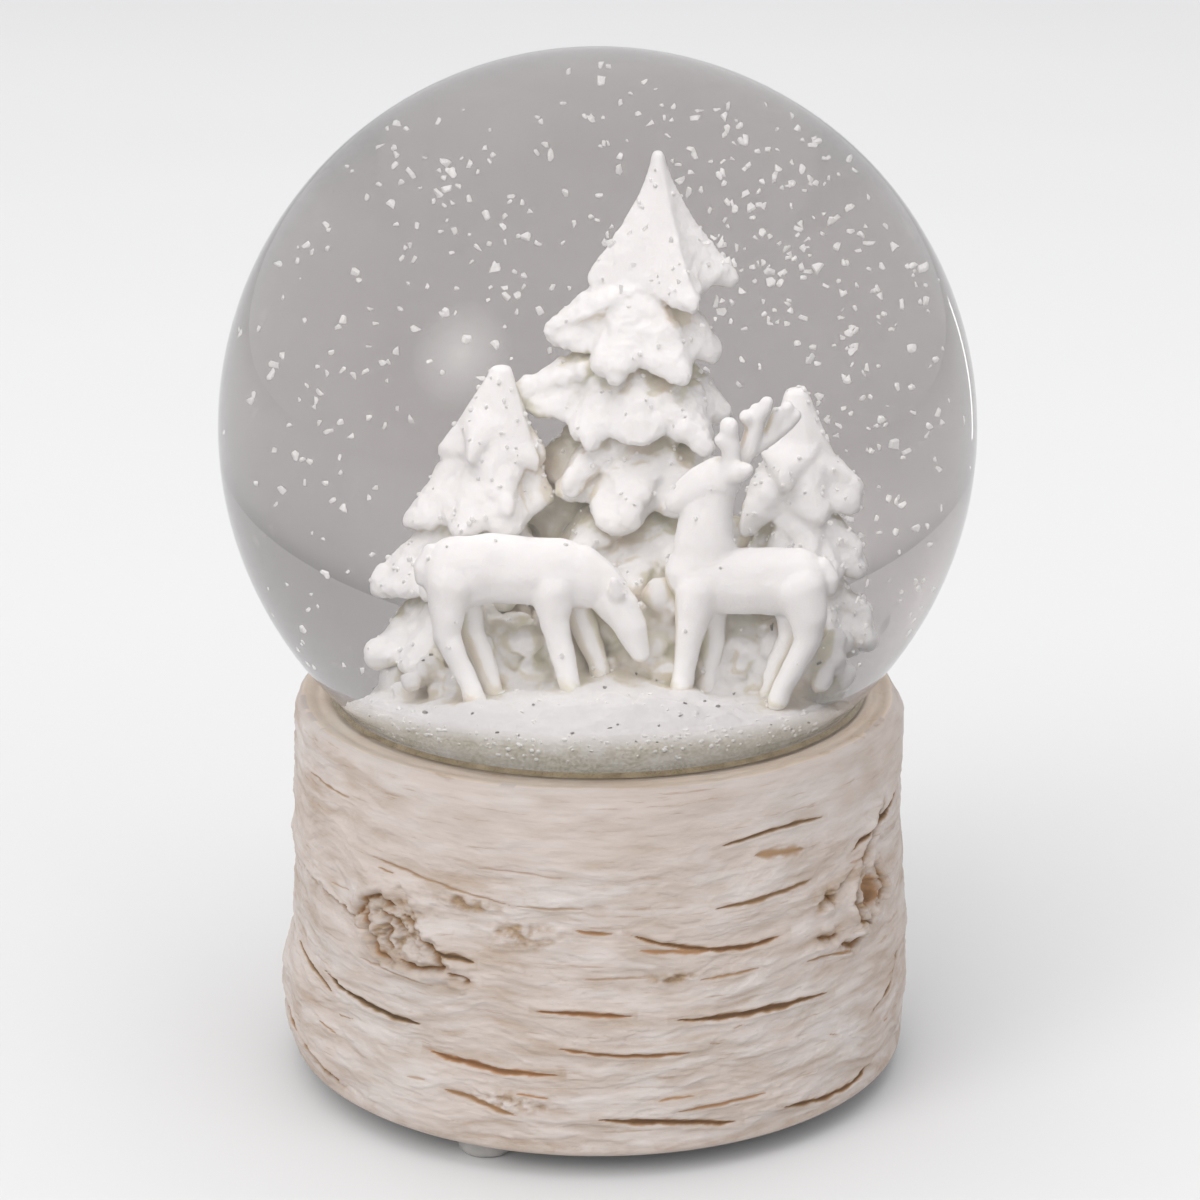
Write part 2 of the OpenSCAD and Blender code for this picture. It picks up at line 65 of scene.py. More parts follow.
def noise3(p, seed):
    """Smooth noise from -1 to 1 at each row of p."""
    cell = np.floor(p).astype(np.int64)
    f = p - cell
    u = f * f * (3 - 2 * f)
    total = np.zeros(len(p))
    for dx in (0, 1):
        for dy in (0, 1):
            for dz in (0, 1):
                weight = (
                    (u[:, 0] if dx else 1 - u[:, 0])
                    * (u[:, 1] if dy else 1 - u[:, 1])
                    * (u[:, 2] if dz else 1 - u[:, 2])
                )
                total += weight * lattice(cell[:, 0] + dx, cell[:, 1] + dy, cell[:, 2] + dz, seed)
    return total


def fbm(p, octaves, seed):
    """Several octaves of noise3."""
    total, size = np.zeros(len(p)), 1.0
    for k in range(octaves):
        total += size * noise3(p * 2.0**k, seed + 17 * k)
        size *= 0.5
    return total


def new_mesh(name, verts_mm, faces, smooth=True):
    """An object from points in millimetres and faces of three or four corners."""
    mesh = bpy.data.meshes.new(name)
    mesh.from_pydata((np.asarray(verts_mm) * MM).tolist(), [], [tuple(f) for f in faces])
    mesh.validate()
    if smooth:
        mesh.polygons.foreach_set("use_smooth", [True] * len(mesh.polygons))
    mesh.update()
    obj = bpy.data.objects.new(name, mesh)
    bpy.context.scene.collection.objects.link(obj)
    return obj


def ring_faces(rows, cols, close_rows=False):
    """Quads of a grid that is closed round its columns, and round its rows if asked."""
    i = np.arange(rows if close_rows else rows - 1)
    j = np.arange(cols)
    a, b = np.meshgrid(i, j, indexing="ij")
    a1, b1 = (a + 1) % rows, (b + 1) % cols
    quads = np.stack([a * cols + b, a * cols + b1, a1 * cols + b1, a1 * cols + b], axis=-1)
    return quads.reshape(-1, 4)


def capped(rows, cols, turn=-1):
    """Faces of rings of points, closed by two more points: the first ring's and the last ring's."""
    first, last = rows * cols, rows * cols + 1
    base = (rows - 1) * cols
    faces = [tuple(q)[::turn] for q in ring_faces(rows, cols)]
    faces += [(first, j, (j + 1) % cols) for j in range(cols)]
    faces += [(last, base + (j + 1) % cols, base + j) for j in range(cols)]
    return faces


def point_data(obj, name, values):
    """Stores one number, or three, at each point of a mesh for its material to read."""
    values = np.asarray(values, dtype=np.float32)
    if values.ndim == 1:
        made = obj.data.attributes.new(name, "FLOAT", "POINT")
        made.data.foreach_set("value", values)
    else:
        made = obj.data.attributes.new(name, "FLOAT_COLOR", "POINT")
        full = np.ones((len(values), 4), dtype=np.float32)
        full[:, :3] = values
        made.data.foreach_set("color", full.ravel())


def points_of(obj):
    """A mesh's points and normals, in millimetres."""
    count = len(obj.data.vertices)
    at, normal = np.empty(count * 3), np.empty(count * 3)
    obj.data.vertices.foreach_get("co", at)
    obj.data.vertices.foreach_get("normal", normal)
    return at.reshape(-1, 3) / MM, normal.reshape(-1, 3)


def move_points(obj, verts_mm):
    """Puts a mesh's points at new places, in millimetres."""
    obj.data.vertices.foreach_set("co", (np.asarray(verts_mm) * MM).ravel())
    obj.data.update()


def fuse(name, shells, voxel, rounds):
    """One skin round several closed shells, all in millimetres, with its edges rounded off."""
    verts, faces, start = [], [], 0
    for v, f in shells:
        verts.append(np.asarray(v))
        faces.extend([tuple(int(c) + start for c in face) for face in f])
        start += len(v)
    mesh = bpy.data.meshes.new(name + "_raw")
    mesh.from_pydata(np.concatenate(verts).tolist(), [], faces)
    raw = bpy.data.objects.new(name + "_raw", mesh)
    bpy.context.scene.collection.objects.link(raw)
    remesh = raw.modifiers.new("skin", "REMESH")
    remesh.mode = "VOXEL"
    remesh.voxel_size = voxel
    soften = raw.modifiers.new("round", "SMOOTH")
    soften.factor = 0.5
    soften.iterations = rounds
    depsgraph = bpy.context.evaluated_depsgraph_get()
    done = bpy.data.meshes.new_from_object(raw.evaluated_get(depsgraph))
    bpy.data.objects.remove(raw)
    bpy.data.meshes.remove(mesh)
    done.name = name
    count = len(done.vertices)
    at = np.empty(count * 3)
    done.vertices.foreach_get("co", at)
    done.vertices.foreach_set("co", at * MM)
    done.polygons.foreach_set("use_smooth", [True] * len(done.polygons))
    done.update()
    obj = bpy.data.objects.new(name, done)
    bpy.context.scene.collection.objects.link(obj)
    return obj


def ball(centre, radii, rows, cols):
    """A closed ball of points, stretched along each axis."""
    lat = np.linspace(0, math.pi, rows + 1)[1:-1]
    lon = np.linspace(0, 2 * math.pi, cols, endpoint=False)
    grid = [(math.sin(a) * math.cos(b), math.sin(a) * math.sin(b), math.cos(a)) for a in lat for b in lon]
    verts = np.array(grid + [(0, 0, 1), (0, 0, -1)]) * np.asarray(radii) + np.asarray(centre)
    return verts, capped(len(lat), cols)


def limb(points, wide=1.0):
    """Overlapping balls along (x, y, z, radius) points. wide stretches them along Y."""
    out = []
    for a, b in zip(points, points[1:]):
        a, b = np.array(a, float), np.array(b, float)
        steps = max(2, int(np.linalg.norm(b[:3] - a[:3]) / (0.16 * min(a[3], b[3]) + 0.05)))
        for t in np.linspace(0, 1, steps):
            p = a + (b - a) * t
            out.append(ball(p[:3], (p[3], p[3] * wide, p[3]), 12, 20))
    return out


# ------------------------------------------------------------------ materials


def nodes_of(name):
    """A new material, its tree and its Principled shader."""
    mat = bpy.data.materials.new(name)
    mat.use_nodes = True
    tree = mat.node_tree
    shader = tree.nodes["Principled BSDF"]
    return mat, tree, shader


def link(tree, a, b):
    """Joins an output socket to an input socket."""
    tree.links.new(a, b)


def noise_node(tree, scale, detail=4.0, stretch=(1, 1, 1), rough=0.55):
    """Noise read at the piece's own coordinates, in metres, stretched along its axes."""
    coord = tree.nodes.new("ShaderNodeTexCoord")
    mapping = tree.nodes.new("ShaderNodeMapping")
    mapping.inputs["Scale"].default_value = stretch
    made = tree.nodes.new("ShaderNodeTexNoise")
    put(made, {"Scale": scale, "Detail": detail, "Roughness": rough})
    link(tree, coord.outputs["Object"], mapping.inputs["Vector"])
    link(tree, mapping.outputs["Vector"], made.inputs["Vector"])
    return made.outputs["Fac"]


def put(node, values):
    """Sets a node's own inputs by name."""
    for name, value in values.items():
        node.inputs[name].default_value = value


def ramp(tree, value, *stops):
    """Colours by value: stops are (place, colour)."""
    made = tree.nodes.new("ShaderNodeValToRGB")
    while len(made.color_ramp.elements) < len(stops):
        made.color_ramp.elements.new(0.5)
    for element, (place, colour) in zip(made.color_ramp.elements, stops):
        element.position = place
        element.color = (*colour, 1)
    link(tree, value, made.inputs["Fac"])
    return made.outputs["Color"]


def mix(tree, fac, a, b, kind="MIX"):
    """Mixes two colours. fac, a and b are sockets or plain values."""
    made = tree.nodes.new("ShaderNodeMix")
    made.data_type = "RGBA"
    made.blend_type = kind
    for place, value in ((0, fac), (6, a), (7, b)):
        if isinstance(value, bpy.types.NodeSocket):
            link(tree, value, made.inputs[place])
        else:
            made.inputs[place].default_value = (*value, 1) if place else value
    return made.outputs[2]


def spread(tree, value, low, high, start=0.3, end=0.7):
    """value from start..end mapped to low..high."""
    made = tree.nodes.new("ShaderNodeMapRange")
    put(made, {"From Min": start, "From Max": end, "To Min": low, "To Max": high})
    link(tree, value, made.inputs["Value"])
    return made.outputs["Result"]


def bump(tree, shader, value, depth, strength=1.0):
    """Relief of a given depth in metres."""
    made = tree.nodes.new("ShaderNodeBump")
    put(made, {"Strength": strength, "Distance": depth})
    link(tree, value, made.inputs["Height"])
    link(tree, made.outputs["Normal"], shader.inputs["Normal"])


def stored(tree, name):
    """What point_data stored under name."""
    made = tree.nodes.new("ShaderNodeAttribute")
    made.attribute_name = name
    return made


def plain(name, light, dark, rough, metal=0.0, scale=900, relief=0.00003, stretch=(1, 1, 1), grain=6000):
    """A surface whose tone and gloss wander a little, with fine relief."""
    mat, tree, shader = nodes_of(name)
    wide = noise_node(tree, scale, 5.0, stretch)
    fine = noise_node(tree, grain, 3.0, stretch)
    tone = ramp(tree, wide, (0.32, dark), (0.68, light))
    link(tree, mix(tree, spread(tree, fine, 0, 0.35), tone, dark), shader.inputs["Base Color"])
    link(tree, spread(tree, wide, rough * 1.25, rough * 0.8), shader.inputs["Roughness"])
    shader.inputs["Metallic"].default_value = metal
    bump(tree, shader, fine, relief, 0.6)
    return mat


def lets_lamps_through(mat, tree, shader):
    """Clear material that lamps shine straight through, so what is inside is lit."""
    out = tree.nodes["Material Output"]
    path = tree.nodes.new("ShaderNodeLightPath")
    clear = tree.nodes.new("ShaderNodeBsdfTransparent")
    choose = tree.nodes.new("ShaderNodeMixShader")
    link(tree, path.outputs["Is Shadow Ray"], choose.inputs["Fac"])
    link(tree, shader.outputs["BSDF"], choose.inputs[1])
    link(tree, clear.outputs["BSDF"], choose.inputs[2])
    link(tree, choose.outputs["Shader"], out.inputs["Surface"])
    return mat


def glass_material(name, ior, tint):
    """Clear glass with a faint film, for one of its two faces."""
    mat, tree, shader = nodes_of(name)
    put(shader, {"Transmission Weight": 1.0, "IOR": ior, "Roughness": 0.0})
    film = noise_node(tree, 26, 3.0)
    light, dark = [tuple(c * k for c in tint) for k in (1.03, 0.97)]
    link(tree, ramp(tree, film, (0.35, dark), (0.65, light)), shader.inputs["Base Color"])
    return lets_lamps_through(mat, tree, shader)


def liquid_material():
    """The liquid's skin: no bend of its own, as the glass round it has it, and a grey tint."""
    mat, tree, shader = nodes_of("liquid")
    put(shader, {"Transmission Weight": 1.0, "IOR": 1.0, "Roughness": 0.0})
    haze = noise_node(tree, 30, 3.0)
    tint = ramp(tree, haze, (0.3, (0.65, 0.62, 0.61)), (0.7, (0.72, 0.70, 0.695)))
    link(tree, tint, shader.inputs["Base Color"])
    return lets_lamps_through(mat, tree, shader)


def resin_material():
    """White castings, with a cream and olive painted shade in their crevices and a chalky grain."""
    mat, tree, shader = nodes_of("white_resin")
    # how closed-in each point is: there a cream and olive painted shade is mixed in
    crevice_shade = stored(tree, "crevice_shade").outputs["Fac"]
    wide = noise_node(tree, 260, 4.0)
    fine = noise_node(tree, 2600, 4.0)
    white = ramp(tree, wide, (0.3, (0.90, 0.895, 0.895)), (0.7, (0.96, 0.955, 0.96)))
    shade = ramp(tree, wide, (0.35, (0.74, 0.72, 0.58)), (0.65, (0.80, 0.71, 0.61)))
    link(tree, mix(tree, crevice_shade, white, shade), shader.inputs["Base Color"])
    link(tree, spread(tree, fine, 0.5, 0.75), shader.inputs["Roughness"])
    bump(tree, shader, fine, 0.00012, 0.5)
    put(shader, {"Subsurface Weight": 0.3, "Subsurface Radius": (1.0, 0.95, 0.85),
                 "Subsurface Scale": 0.0016})
    return mat


def ground_material():
    """Snow with a cream and olive painted shade in its crevices, and a darker, greenish grey painted shade
    low down towards the plug.
    """
    mat, tree, shader = nodes_of("snow_cover")
    low = stored(tree, "low").outputs["Fac"]
    # the same cream and olive painted shade in the snow's crevices
    crevice_shade = stored(tree, "crevice_shade").outputs["Fac"]
    wide = noise_node(tree, 220, 4.0)
    fine = noise_node(tree, 2200, 5.0)
    white = ramp(tree, wide, (0.3, (0.90, 0.895, 0.90)), (0.7, (0.96, 0.955, 0.96)))
    shade = ramp(tree, wide, (0.35, (0.74, 0.72, 0.58)), (0.65, (0.80, 0.71, 0.61)))
    # a darker, greenish grey painted shade low on the mound
    low_painted_shade = ramp(tree, fine, (0.36, (0.50, 0.485, 0.40)), (0.60, (0.72, 0.70, 0.62)))
    link(tree, mix(tree, low, mix(tree, crevice_shade, white, shade), low_painted_shade), shader.inputs["Base Color"])
    link(tree, spread(tree, fine, 0.45, 0.7), shader.inputs["Roughness"])
    bump(tree, shader, fine, 0.0001, 0.5)
    return mat


def bark_material():
    """Painted resin bark: cream on the ridges, brown in the cracks, rust in the lenticels, and painted light
    on the rim's top.
    """
    mat, tree, shader = nodes_of("birch_bark")
    marks = stored(tree, "bark")
    split = tree.nodes.new("ShaderNodeSeparateColor")
    link(tree, marks.outputs["Color"], split.inputs["Color"])
    groove, rust, crack = (split.outputs[k] for k in ("Red", "Green", "Blue"))
    wide = noise_node(tree, 55, 5.0, (1, 1, 2.0))
    lines = noise_node(tree, 190, 6.0, (0.5, 0.5, 3.2), 0.6)
    fine = noise_node(tree, 1500, 4.0, (0.6, 0.6, 1.6))
    hair = noise_node(tree, 430, 5.0, (0.32, 0.32, 3.6), 0.62)
    ridge = stored(tree, "ridge").outputs["Fac"]
    cream = ramp(tree, wide, (0.34, (0.478, 0.418, 0.383)), (0.5, (0.487, 0.432, 0.405)),
                 (0.66, (0.50, 0.458, 0.438)))
    # at 1.0, which only the rim's top gets, the last stop is painted light
    pale = ramp(tree, ridge, (0.10, (0.88, 0.84, 0.79)), (0.45, (0.975, 0.965, 0.95)),
                (0.9, (1.06, 1.07, 1.075)), (1.0, (1.24, 1.20, 1.09)))
    streak = ramp(tree, lines, (0.30, (0.86, 0.82, 0.77)), (0.46, (0.98, 0.975, 0.97)),
                  (0.66, (1.03, 1.03, 1.03)))
    grain = ramp(tree, hair, (0.30, (0.80, 0.73, 0.65)), (0.38, (0.97, 0.957, 0.945)),
                 (0.62, (1.015, 1.015, 1.015)))
    skin = mix(tree, 1.0, mix(tree, 0.7, cream, streak, "MULTIPLY"), pale, "MULTIPLY")
    skin = mix(tree, 1.0, skin, grain, "MULTIPLY")
    stain = ramp(tree, fine, (0.35, (0.20, 0.125, 0.065)), (0.65, (0.34, 0.235, 0.14)))
    skin = mix(tree, crack, skin, stain)
    red = ramp(tree, groove, (0.5, (0.34, 0.185, 0.095)), (0.98, (0.17, 0.085, 0.04)))
    dark = ramp(tree, groove, (0.5, (0.27, 0.185, 0.11)), (0.98, (0.075, 0.048, 0.028)))
    cover = spread(tree, groove, 0, 1, 0.12, 0.5)
    skin = mix(tree, cover, skin, mix(tree, rust, dark, red))
    link(tree, skin, shader.inputs["Base Color"])
    link(tree, spread(tree, lines, 0.8, 0.62), shader.inputs["Roughness"])
    shader.inputs["Specular IOR Level"].default_value = 0.25
    bump(tree, shader, mix(tree, 0.45, mix(tree, 0.5, lines, hair), fine), 0.0003, 0.6)
    return mat


def rubber_material(name, light, dark, clear, rough):
    """A soft plastic or adhesive that lets a share of light through."""
    mat, tree, shader = nodes_of(name)
    wide = noise_node(tree, 500, 3.0)
    fine = noise_node(tree, 5000, 3.0)
    link(tree, ramp(tree, wide, (0.35, dark), (0.65, light)), shader.inputs["Base Color"])
    link(tree, spread(tree, fine, rough * 0.8, rough * 1.2), shader.inputs["Roughness"])
    shader.inputs["Transmission Weight"].default_value = clear
    bump(tree, shader, fine, 0.00003, 0.4)
    return mat


# ------------------------------------------------------------------ bark base


def wall_radius(z):
    """The base's radius at each height."""
    return np.interp(z, [3.1, 3.9, 9, 20, 36, 50.5, 52], [41.7, 42.3, 42.5, 41.9, 41.3, 40.9, 40.4])


# Each mark: angle and height of its two ends, how far its middle bows, width, depth, how dark, how red
MARKS = [
    (-60, 20.0, -33, 18.3, -0.4, 0.50, 0.45, 1.0, 0.1), (-11, 23.0, 6, 22.6, 0.1, 0.45, 0.35, 0.9, 0.9),
    (14, 21.6, 45, 20.8, 0.0, 0.55, 0.45, 1.0, 0.45), (-7, 18.0, 17, 17.0, -0.3, 0.38, 0.3, 0.8, 0.7),
    (-32, 15.0, -7, 14.3, -0.2, 0.50, 0.4, 0.9, 1.0), (0, 8.6, 25, 6.4, 0.1, 0.55, 0.4, 1.0, 0.5),
    (6, 33.4, 35, 30.6, -1.2, 0.50, 0.4, 0.95, 0.6), (7, 31.4, 21, 30.6, -0.1, 0.45, 0.2, 0.5, 0.8),
    (-4, 34.0, 3, 33.5, 0.0, 0.35, 0.2, 0.6, 0.7), (22, 44.2, 45, 44.8, 0.6, 0.35, 0.35, 0.8, 0.2),
    (21, 36.2, 42, 37.0, 0.0, 0.40, 0.35, 0.7, 0.3), (29, 42.3, 40, 41.5, 0.0, 1.00, 0.3, 0.45, 0.3),
    (53, 38.4, 78, 41.2, 0.6, 0.40, 0.5, 1.0, 0.2), (58, 14.2, 80, 20.5, 0.0, 0.38, 0.4, 0.9, 0.1),
    (34, 7.0, 59, 6.8, -1.2, 0.50, 0.4, 0.9, 0.4), (14, 9.0, 31, 9.4, 0.2, 0.35, 0.25, 0.5, 0.7),
    (-78, 10.0, -54, 5.4, 0.3, 0.70, 0.6, 1.0, 0.4), (-74, 20.5, -56, 17.7, 0.2, 0.35, 0.35, 0.8, 0.2),
    (-68, 46.0, -50, 46.2, 0.2, 0.25, 0.2, 0.5, 0.2), (-45, 39.8, -15, 37.0, 0.3, 0.28, 0.25, 0.45, 0.2),
    (-15, 37.0, -2, 37.1, 0.0, 0.25, 0.2, 0.35, 0.3), (-30, 29.3, -22, 28.6, 0.2, 0.60, 0.4, 0.9, 0.2),
    (40, 26.0, 52, 25.0, 0.3, 0.30, 0.25, 0.5, 0.3), (-22, 41.5, -6, 41.0, 0.2, 0.22, 0.15, 0.3, 0.2),
    (-48, 25.2, -30, 24.4, 0.2, 0.28, 0.2, 0.35, 0.2), (-28, 10.5, -14, 8.6, 0.2, 0.55, 0.3, 0.6, 0.5),
    (18, 26.8, 30, 27.2, 0.0, 0.28, 0.2, 0.45, 0.4), (-3, 27.6, 8, 27.5, 0.1, 0.25, 0.15, 0.35, 0.4),
]
# Each knot: angle, height, half width, half height, depth
KNOTS = [(-38, 31.2, 5.4, 4.6, 1.1), (58, 31.4, 3.8, 3.6, 1.2), (148, 23.0, 4.6, 3.8, 1.1),
         (231, 36.0, 4.2, 4.4, 1.0)]
# Torn edges round the knots: the knot's angle and height, points in mm along and up from it, and a width
TEARS = [
    (-38, 31.2, [(-6.2, 0.0), (-4.6, 3.0), (-2.6, 3.7), (0.2, 3.1)], 0.5),
    (-38, 31.2, [(-2.6, 1.8), (-0.6, 1.2), (1.4, 0.2), (3.0, -0.9)], 0.5),
    (-38, 31.2, [(-4.8, 1.4), (-4.2, -1.2), (-2.6, -3.4), (0.2, -4.9)], 0.55),
    (-38, 31.2, [(1.4, 2.3), (4.0, 0.4), (6.6, -2.4), (7.4, -3.9), (4.0, -4.7), (0.8, -4.0)], 0.42),
    (-38, 31.2, [(8.0, -4.5), (11.0, -5.2)], 0.4), (-38, 31.2, [(-1.2, 0.2), (-1.6, -2.2), (0.2, -3.2)], 0.4),
    (58, 31.4, [(-2.6, 2.2), (-3.4, 0.0), (-2.6, -2.8), (0.0, -3.9)], 0.45),
    (58, 31.4, [(-1.7, 4.2), (0.6, 6.4), (3.0, 8.6), (6.4, 10.6)], 0.35),
    (58, 31.4, [(2.4, 3.2), (3.6, 0.6), (2.8, -2.2)], 0.4),
    (58, 31.4, [(-6.8, -4.6), (-4.4, -5.6), (-2.4, -5.2)], 0.5),
    (58, 31.4, [(-11.0, -2.6), (-9.0, -3.4), (-7.6, -3.0)], 0.55),
    (58, 31.4, [(-9.4, 2.2), (-7.4, 1.6)], 0.4),
    (148, 23.0, [(-5.4, 0.6), (-3.6, 3.2), (0.0, 4.0), (3.4, 2.8)], 0.45),
    (148, 23.0, [(-3.6, -1.0), (-0.4, -3.2), (4.2, -2.2), (8.6, -3.0)], 0.45),
    (231, 36.0, [(-3.4, 3.0), (-4.2, -0.4), (-2.0, -3.8), (1.8, -4.4)], 0.45),
    (231, 36.0, [(1.0, 4.4), (3.8, 2.0), (4.2, -1.4)], 0.45),
]
# Each peeling edge: its points as angle and height, and how far it stands up
PEELS = [
    ([(-128, 37.5), (-95, 34.4), (-72, 32.6), (-58, 32.2), (-48, 31.6), (-43, 33.4)], 0.55),
    ([(-72, 10.4), (-62, 7.2), (-50, 5.6)], 0.5),
    ([(44, 33.6), (50, 34.6), (56, 37.4)], 0.45),
    ([(96, 30.5), (118, 28.6), (140, 27.6), (150, 29.0)], 0.5),
    ([(196, 17.0), (216, 15.6), (240, 16.6)], 0.45),
]
# Rough patches: angle, height, half width, half height
PATCHES = [
    (-13, 33.0, 4.0, 1.5), (46, 33.2, 2.6, 1.6), (-24, 36.6, 4.5, 1.0), (14, 27.4, 3.0, 0.7),
    (-16, 10.2, 4.5, 1.2),
]
KNOT_HOLE = (58.5, 31.6, 2.0, 2.2)  # angle, height, half width, half height


def bark_marks():
    """The listed marks, with seeded ones round the sides and back."""
    out = list(MARKS)
    for _ in range(46):
        mid, z = rng.uniform(84, 278), rng.uniform(6, 48)
        half, tilt = rng.uniform(4, 14), rng.uniform(-1.2, 1.2)
        out.append((mid - half, z - tilt, mid + half, z + tilt, rng.uniform(-0.5, 0.5), rng.uniform(0.3, 0.6),
                    rng.uniform(0.2, 0.45), rng.uniform(0.5, 1.0), rng.uniform(0.1, 1.0)))
    for _ in range(34):
        mid, z = rng.uniform(-180, 180), rng.uniform(6, 40)
        half = rng.uniform(1.0, 3.5)
        out.append((mid - half, z, mid + half, z + rng.uniform(-0.5, 0.5), 0.0, rng.uniform(0.15, 0.28),
                    0.12, rng.uniform(0.25, 0.6), rng.uniform(0.2, 1.0)))
    return out


def turn_apart(a, b):
    """The signed angle from b to a, in degrees, within half a turn."""
    return (a - b + 180) % 360 - 180


def path_distance(u, v, path):
    """How far each (u, v) lies from a line of points, and how far along the line its nearest point is."""
    best, along = np.full(len(u), 1e9), np.zeros(len(u))
    count = len(path) - 1
    for k, ((x0, y0), (x1, y1)) in enumerate(zip(path, path[1:])):
        dx, dy = x1 - x0, y1 - y0
        t = np.clip(((u - x0) * dx + (v - y0) * dy) / (dx * dx + dy * dy), 0, 1)
        d = np.hypot(u - x0 - t * dx, v - y0 - t * dy)
        nearer = d < best
        best, along = np.where(nearer, d, best), np.where(nearer, (k + t) / count, along)
    return best, along


def wall_points():
    """The wall's grid of points, with what each one carries and the noises that its marks share."""
    theta = np.linspace(-180, 180, BARK_COLS, endpoint=False)
    angle, z = (g.ravel() for g in np.meshgrid(theta, np.linspace(WALL_LOW, WALL_TOP, BARK_ROWS)))
    arc = np.radians(angle)
    at = np.stack([40 * np.sin(arc), -40 * np.cos(arc), z], axis=1)
    return SimpleNamespace(
        angle=angle, arc=arc, z=z, at=at,
        groove=np.zeros_like(z), rust=np.zeros_like(z),
        # the height that each point is read at wanders, so that nothing runs dead level
        wander=2.6 * fbm(at / [24, 24, 24], 3, 5) + 0.7 * fbm(at / [7, 7, 5], 3, 9),
        calm=1 - 0.8 * np.clip((z - 38) / 8, 0, 1) * np.clip((angle + 50) / 15, 0, 1),
        ragged=0.6 * fbm(at / [1.5, 1.5, 0.8], 3, 13),
        lumps=fbm(at / 1.5, 3, 67),
        chips=fbm(at / [1.1, 1.1, 0.9], 3, 45),
    )


def along_wall(wall, angle):
    """How far round the wall each point lies from an angle, in millimetres."""
    return np.radians(turn_apart(wall.angle, angle)) * WALL_MEAN


def layer_bark(wall):
    """Thin layers that end in ledges, with strands along them."""
    level = wall.z + wall.wander
    wall.relief = 0.5 * fbm(wall.at / [22, 22, 16], 3, 1)
    layers = fbm(np.stack([wall.at[:, 0] / 11, wall.at[:, 1] / 11, level / 3.2], axis=1), 4, 31)
    step = layers * 2.4
    inside = step - np.floor(step)
    ledge = np.floor(step) + np.clip((inside - 0.74) / 0.26, 0, 1)
    wall.relief += wall.calm * 0.15 * ledge
    broken = (0.35 + 0.75 * fbm(wall.at / 4, 2, 3)).clip(0, 1)
    edge = np.exp(-(((inside - 0.75) / 0.06) ** 2)) * broken
    strands = fbm(np.stack([wall.at[:, 0] / 6, wall.at[:, 1] / 6, level / 1.1], axis=1), 3, 77)
    wall.relief += wall.calm * 0.10 * strands
    wall.relief += 0.10 * fbm(wall.at / [3.2, 3.2, 2.0], 3, 58) + 0.05 * fbm(wall.at / [1.1, 1.1, 0.6], 3, 55)
    wall.crack = edge * 0.22 * wall.calm + np.clip(-strands - 0.5, 0, 1) * 0.4 * wall.calm
    mottle = 0.35 * fbm(wall.at / [5, 5, 2.4], 2, 88)
    wall.ridge = 0.5 + 0.55 * strands * wall.calm + mottle + 0.12 * (inside - 0.5) * wall.calm


def cut_marks(wall):
    """The lenticels: dark or rusty slits with raised lips and a stained halo."""
    uneven = 0.15 * fbm(wall.at / [3.0, 3.0, 40], 2, 14)
    for a0, z0, a1, z1, bow, width, depth, darkness, redness in bark_marks():
        mid, half = (a0 + a1) / 2, (a1 - a0) / 2
        t = turn_apart(wall.angle, mid) / half
        near = np.abs(t) < 1.35
        tn, ragged = t[near], wall.ragged[near]
        line = z0 + (z1 - z0) * (tn + 1) / 2 + bow * (1 - tn * tn)
        off = wall.z[near] + uneven[near] - line
        taper = np.clip(1 - tn**4, 0, 1) * (0.75 + 0.6 * ragged).clip(0.25, 1.3)
        q = off / (0.95 * width * np.maximum(taper, 0.12))
        ends = np.clip((1.02 - np.abs(tn)) / 0.06, 0, 1)
        body = np.exp(-(np.abs(q) ** 2.6)) * ends
        lips = np.exp(-((np.abs(off / width) - 1.35) ** 2) / 0.18) * np.clip((1.1 - np.abs(tn)) / 0.25, 0, 1)
        wall.relief[near] += depth * (0.35 * lips - 0.65 * body)
        stronger = np.clip(body * darkness * 1.15, 0, 1)
        wall.rust[near] = np.where(stronger > wall.groove[near], redness, wall.rust[near])
        wall.groove[near] = np.maximum(wall.groove[near], stronger)
        halo = np.exp(-((off / (1.5 * width)) ** 2)) * (np.abs(tn) < 1.12) * (0.55 + 0.6 * ragged).clip(0, 1)
        wall.crack[near] = np.maximum(wall.crack[near], (0.3 + 0.3 * redness) * darkness * halo)


def open_knots(wall):
    """The knots: a raised ring round a torn, chipped hollow."""
    for a0, z0, wide, tall, depth in KNOTS:
        s = along_wall(wall, a0)
        rho = np.sqrt((s / wide) ** 2 + ((wall.z - z0) / tall) ** 2) + 0.22 * wall.lumps
        ring = 0.9 * np.exp(-(((rho - 1.15) / 0.42) ** 2)) * (0.75 + 0.5 * wall.lumps)
        wall.relief += ring + 0.5 * np.exp(-((rho / 2.4) ** 2))
        wall.relief += np.exp(-((rho / 0.85) ** 2)) * (0.8 * wall.chips - 0.4 * depth)
        torn = np.exp(-((rho / 0.95) ** 4))
        wall.crack = np.maximum(wall.crack, np.clip(torn * (0.36 - 1.5 * wall.chips), 0, 0.85))


def open_hole(wall):
    """The open hole in the right-hand knot."""
    angle, z, wide, tall = KNOT_HOLE
    hole = np.exp(-((along_wall(wall, angle) / wide) ** 2 + ((wall.z - z) / tall) ** 2) ** 2)
    wall.relief -= 0.7 * hole
    wall.groove = np.maximum(wall.groove, np.clip(hole * (0.72 + 0.5 * wall.chips), 0, 0.85))
    wall.rust = np.where(hole > 0.3, 0.6, wall.rust)


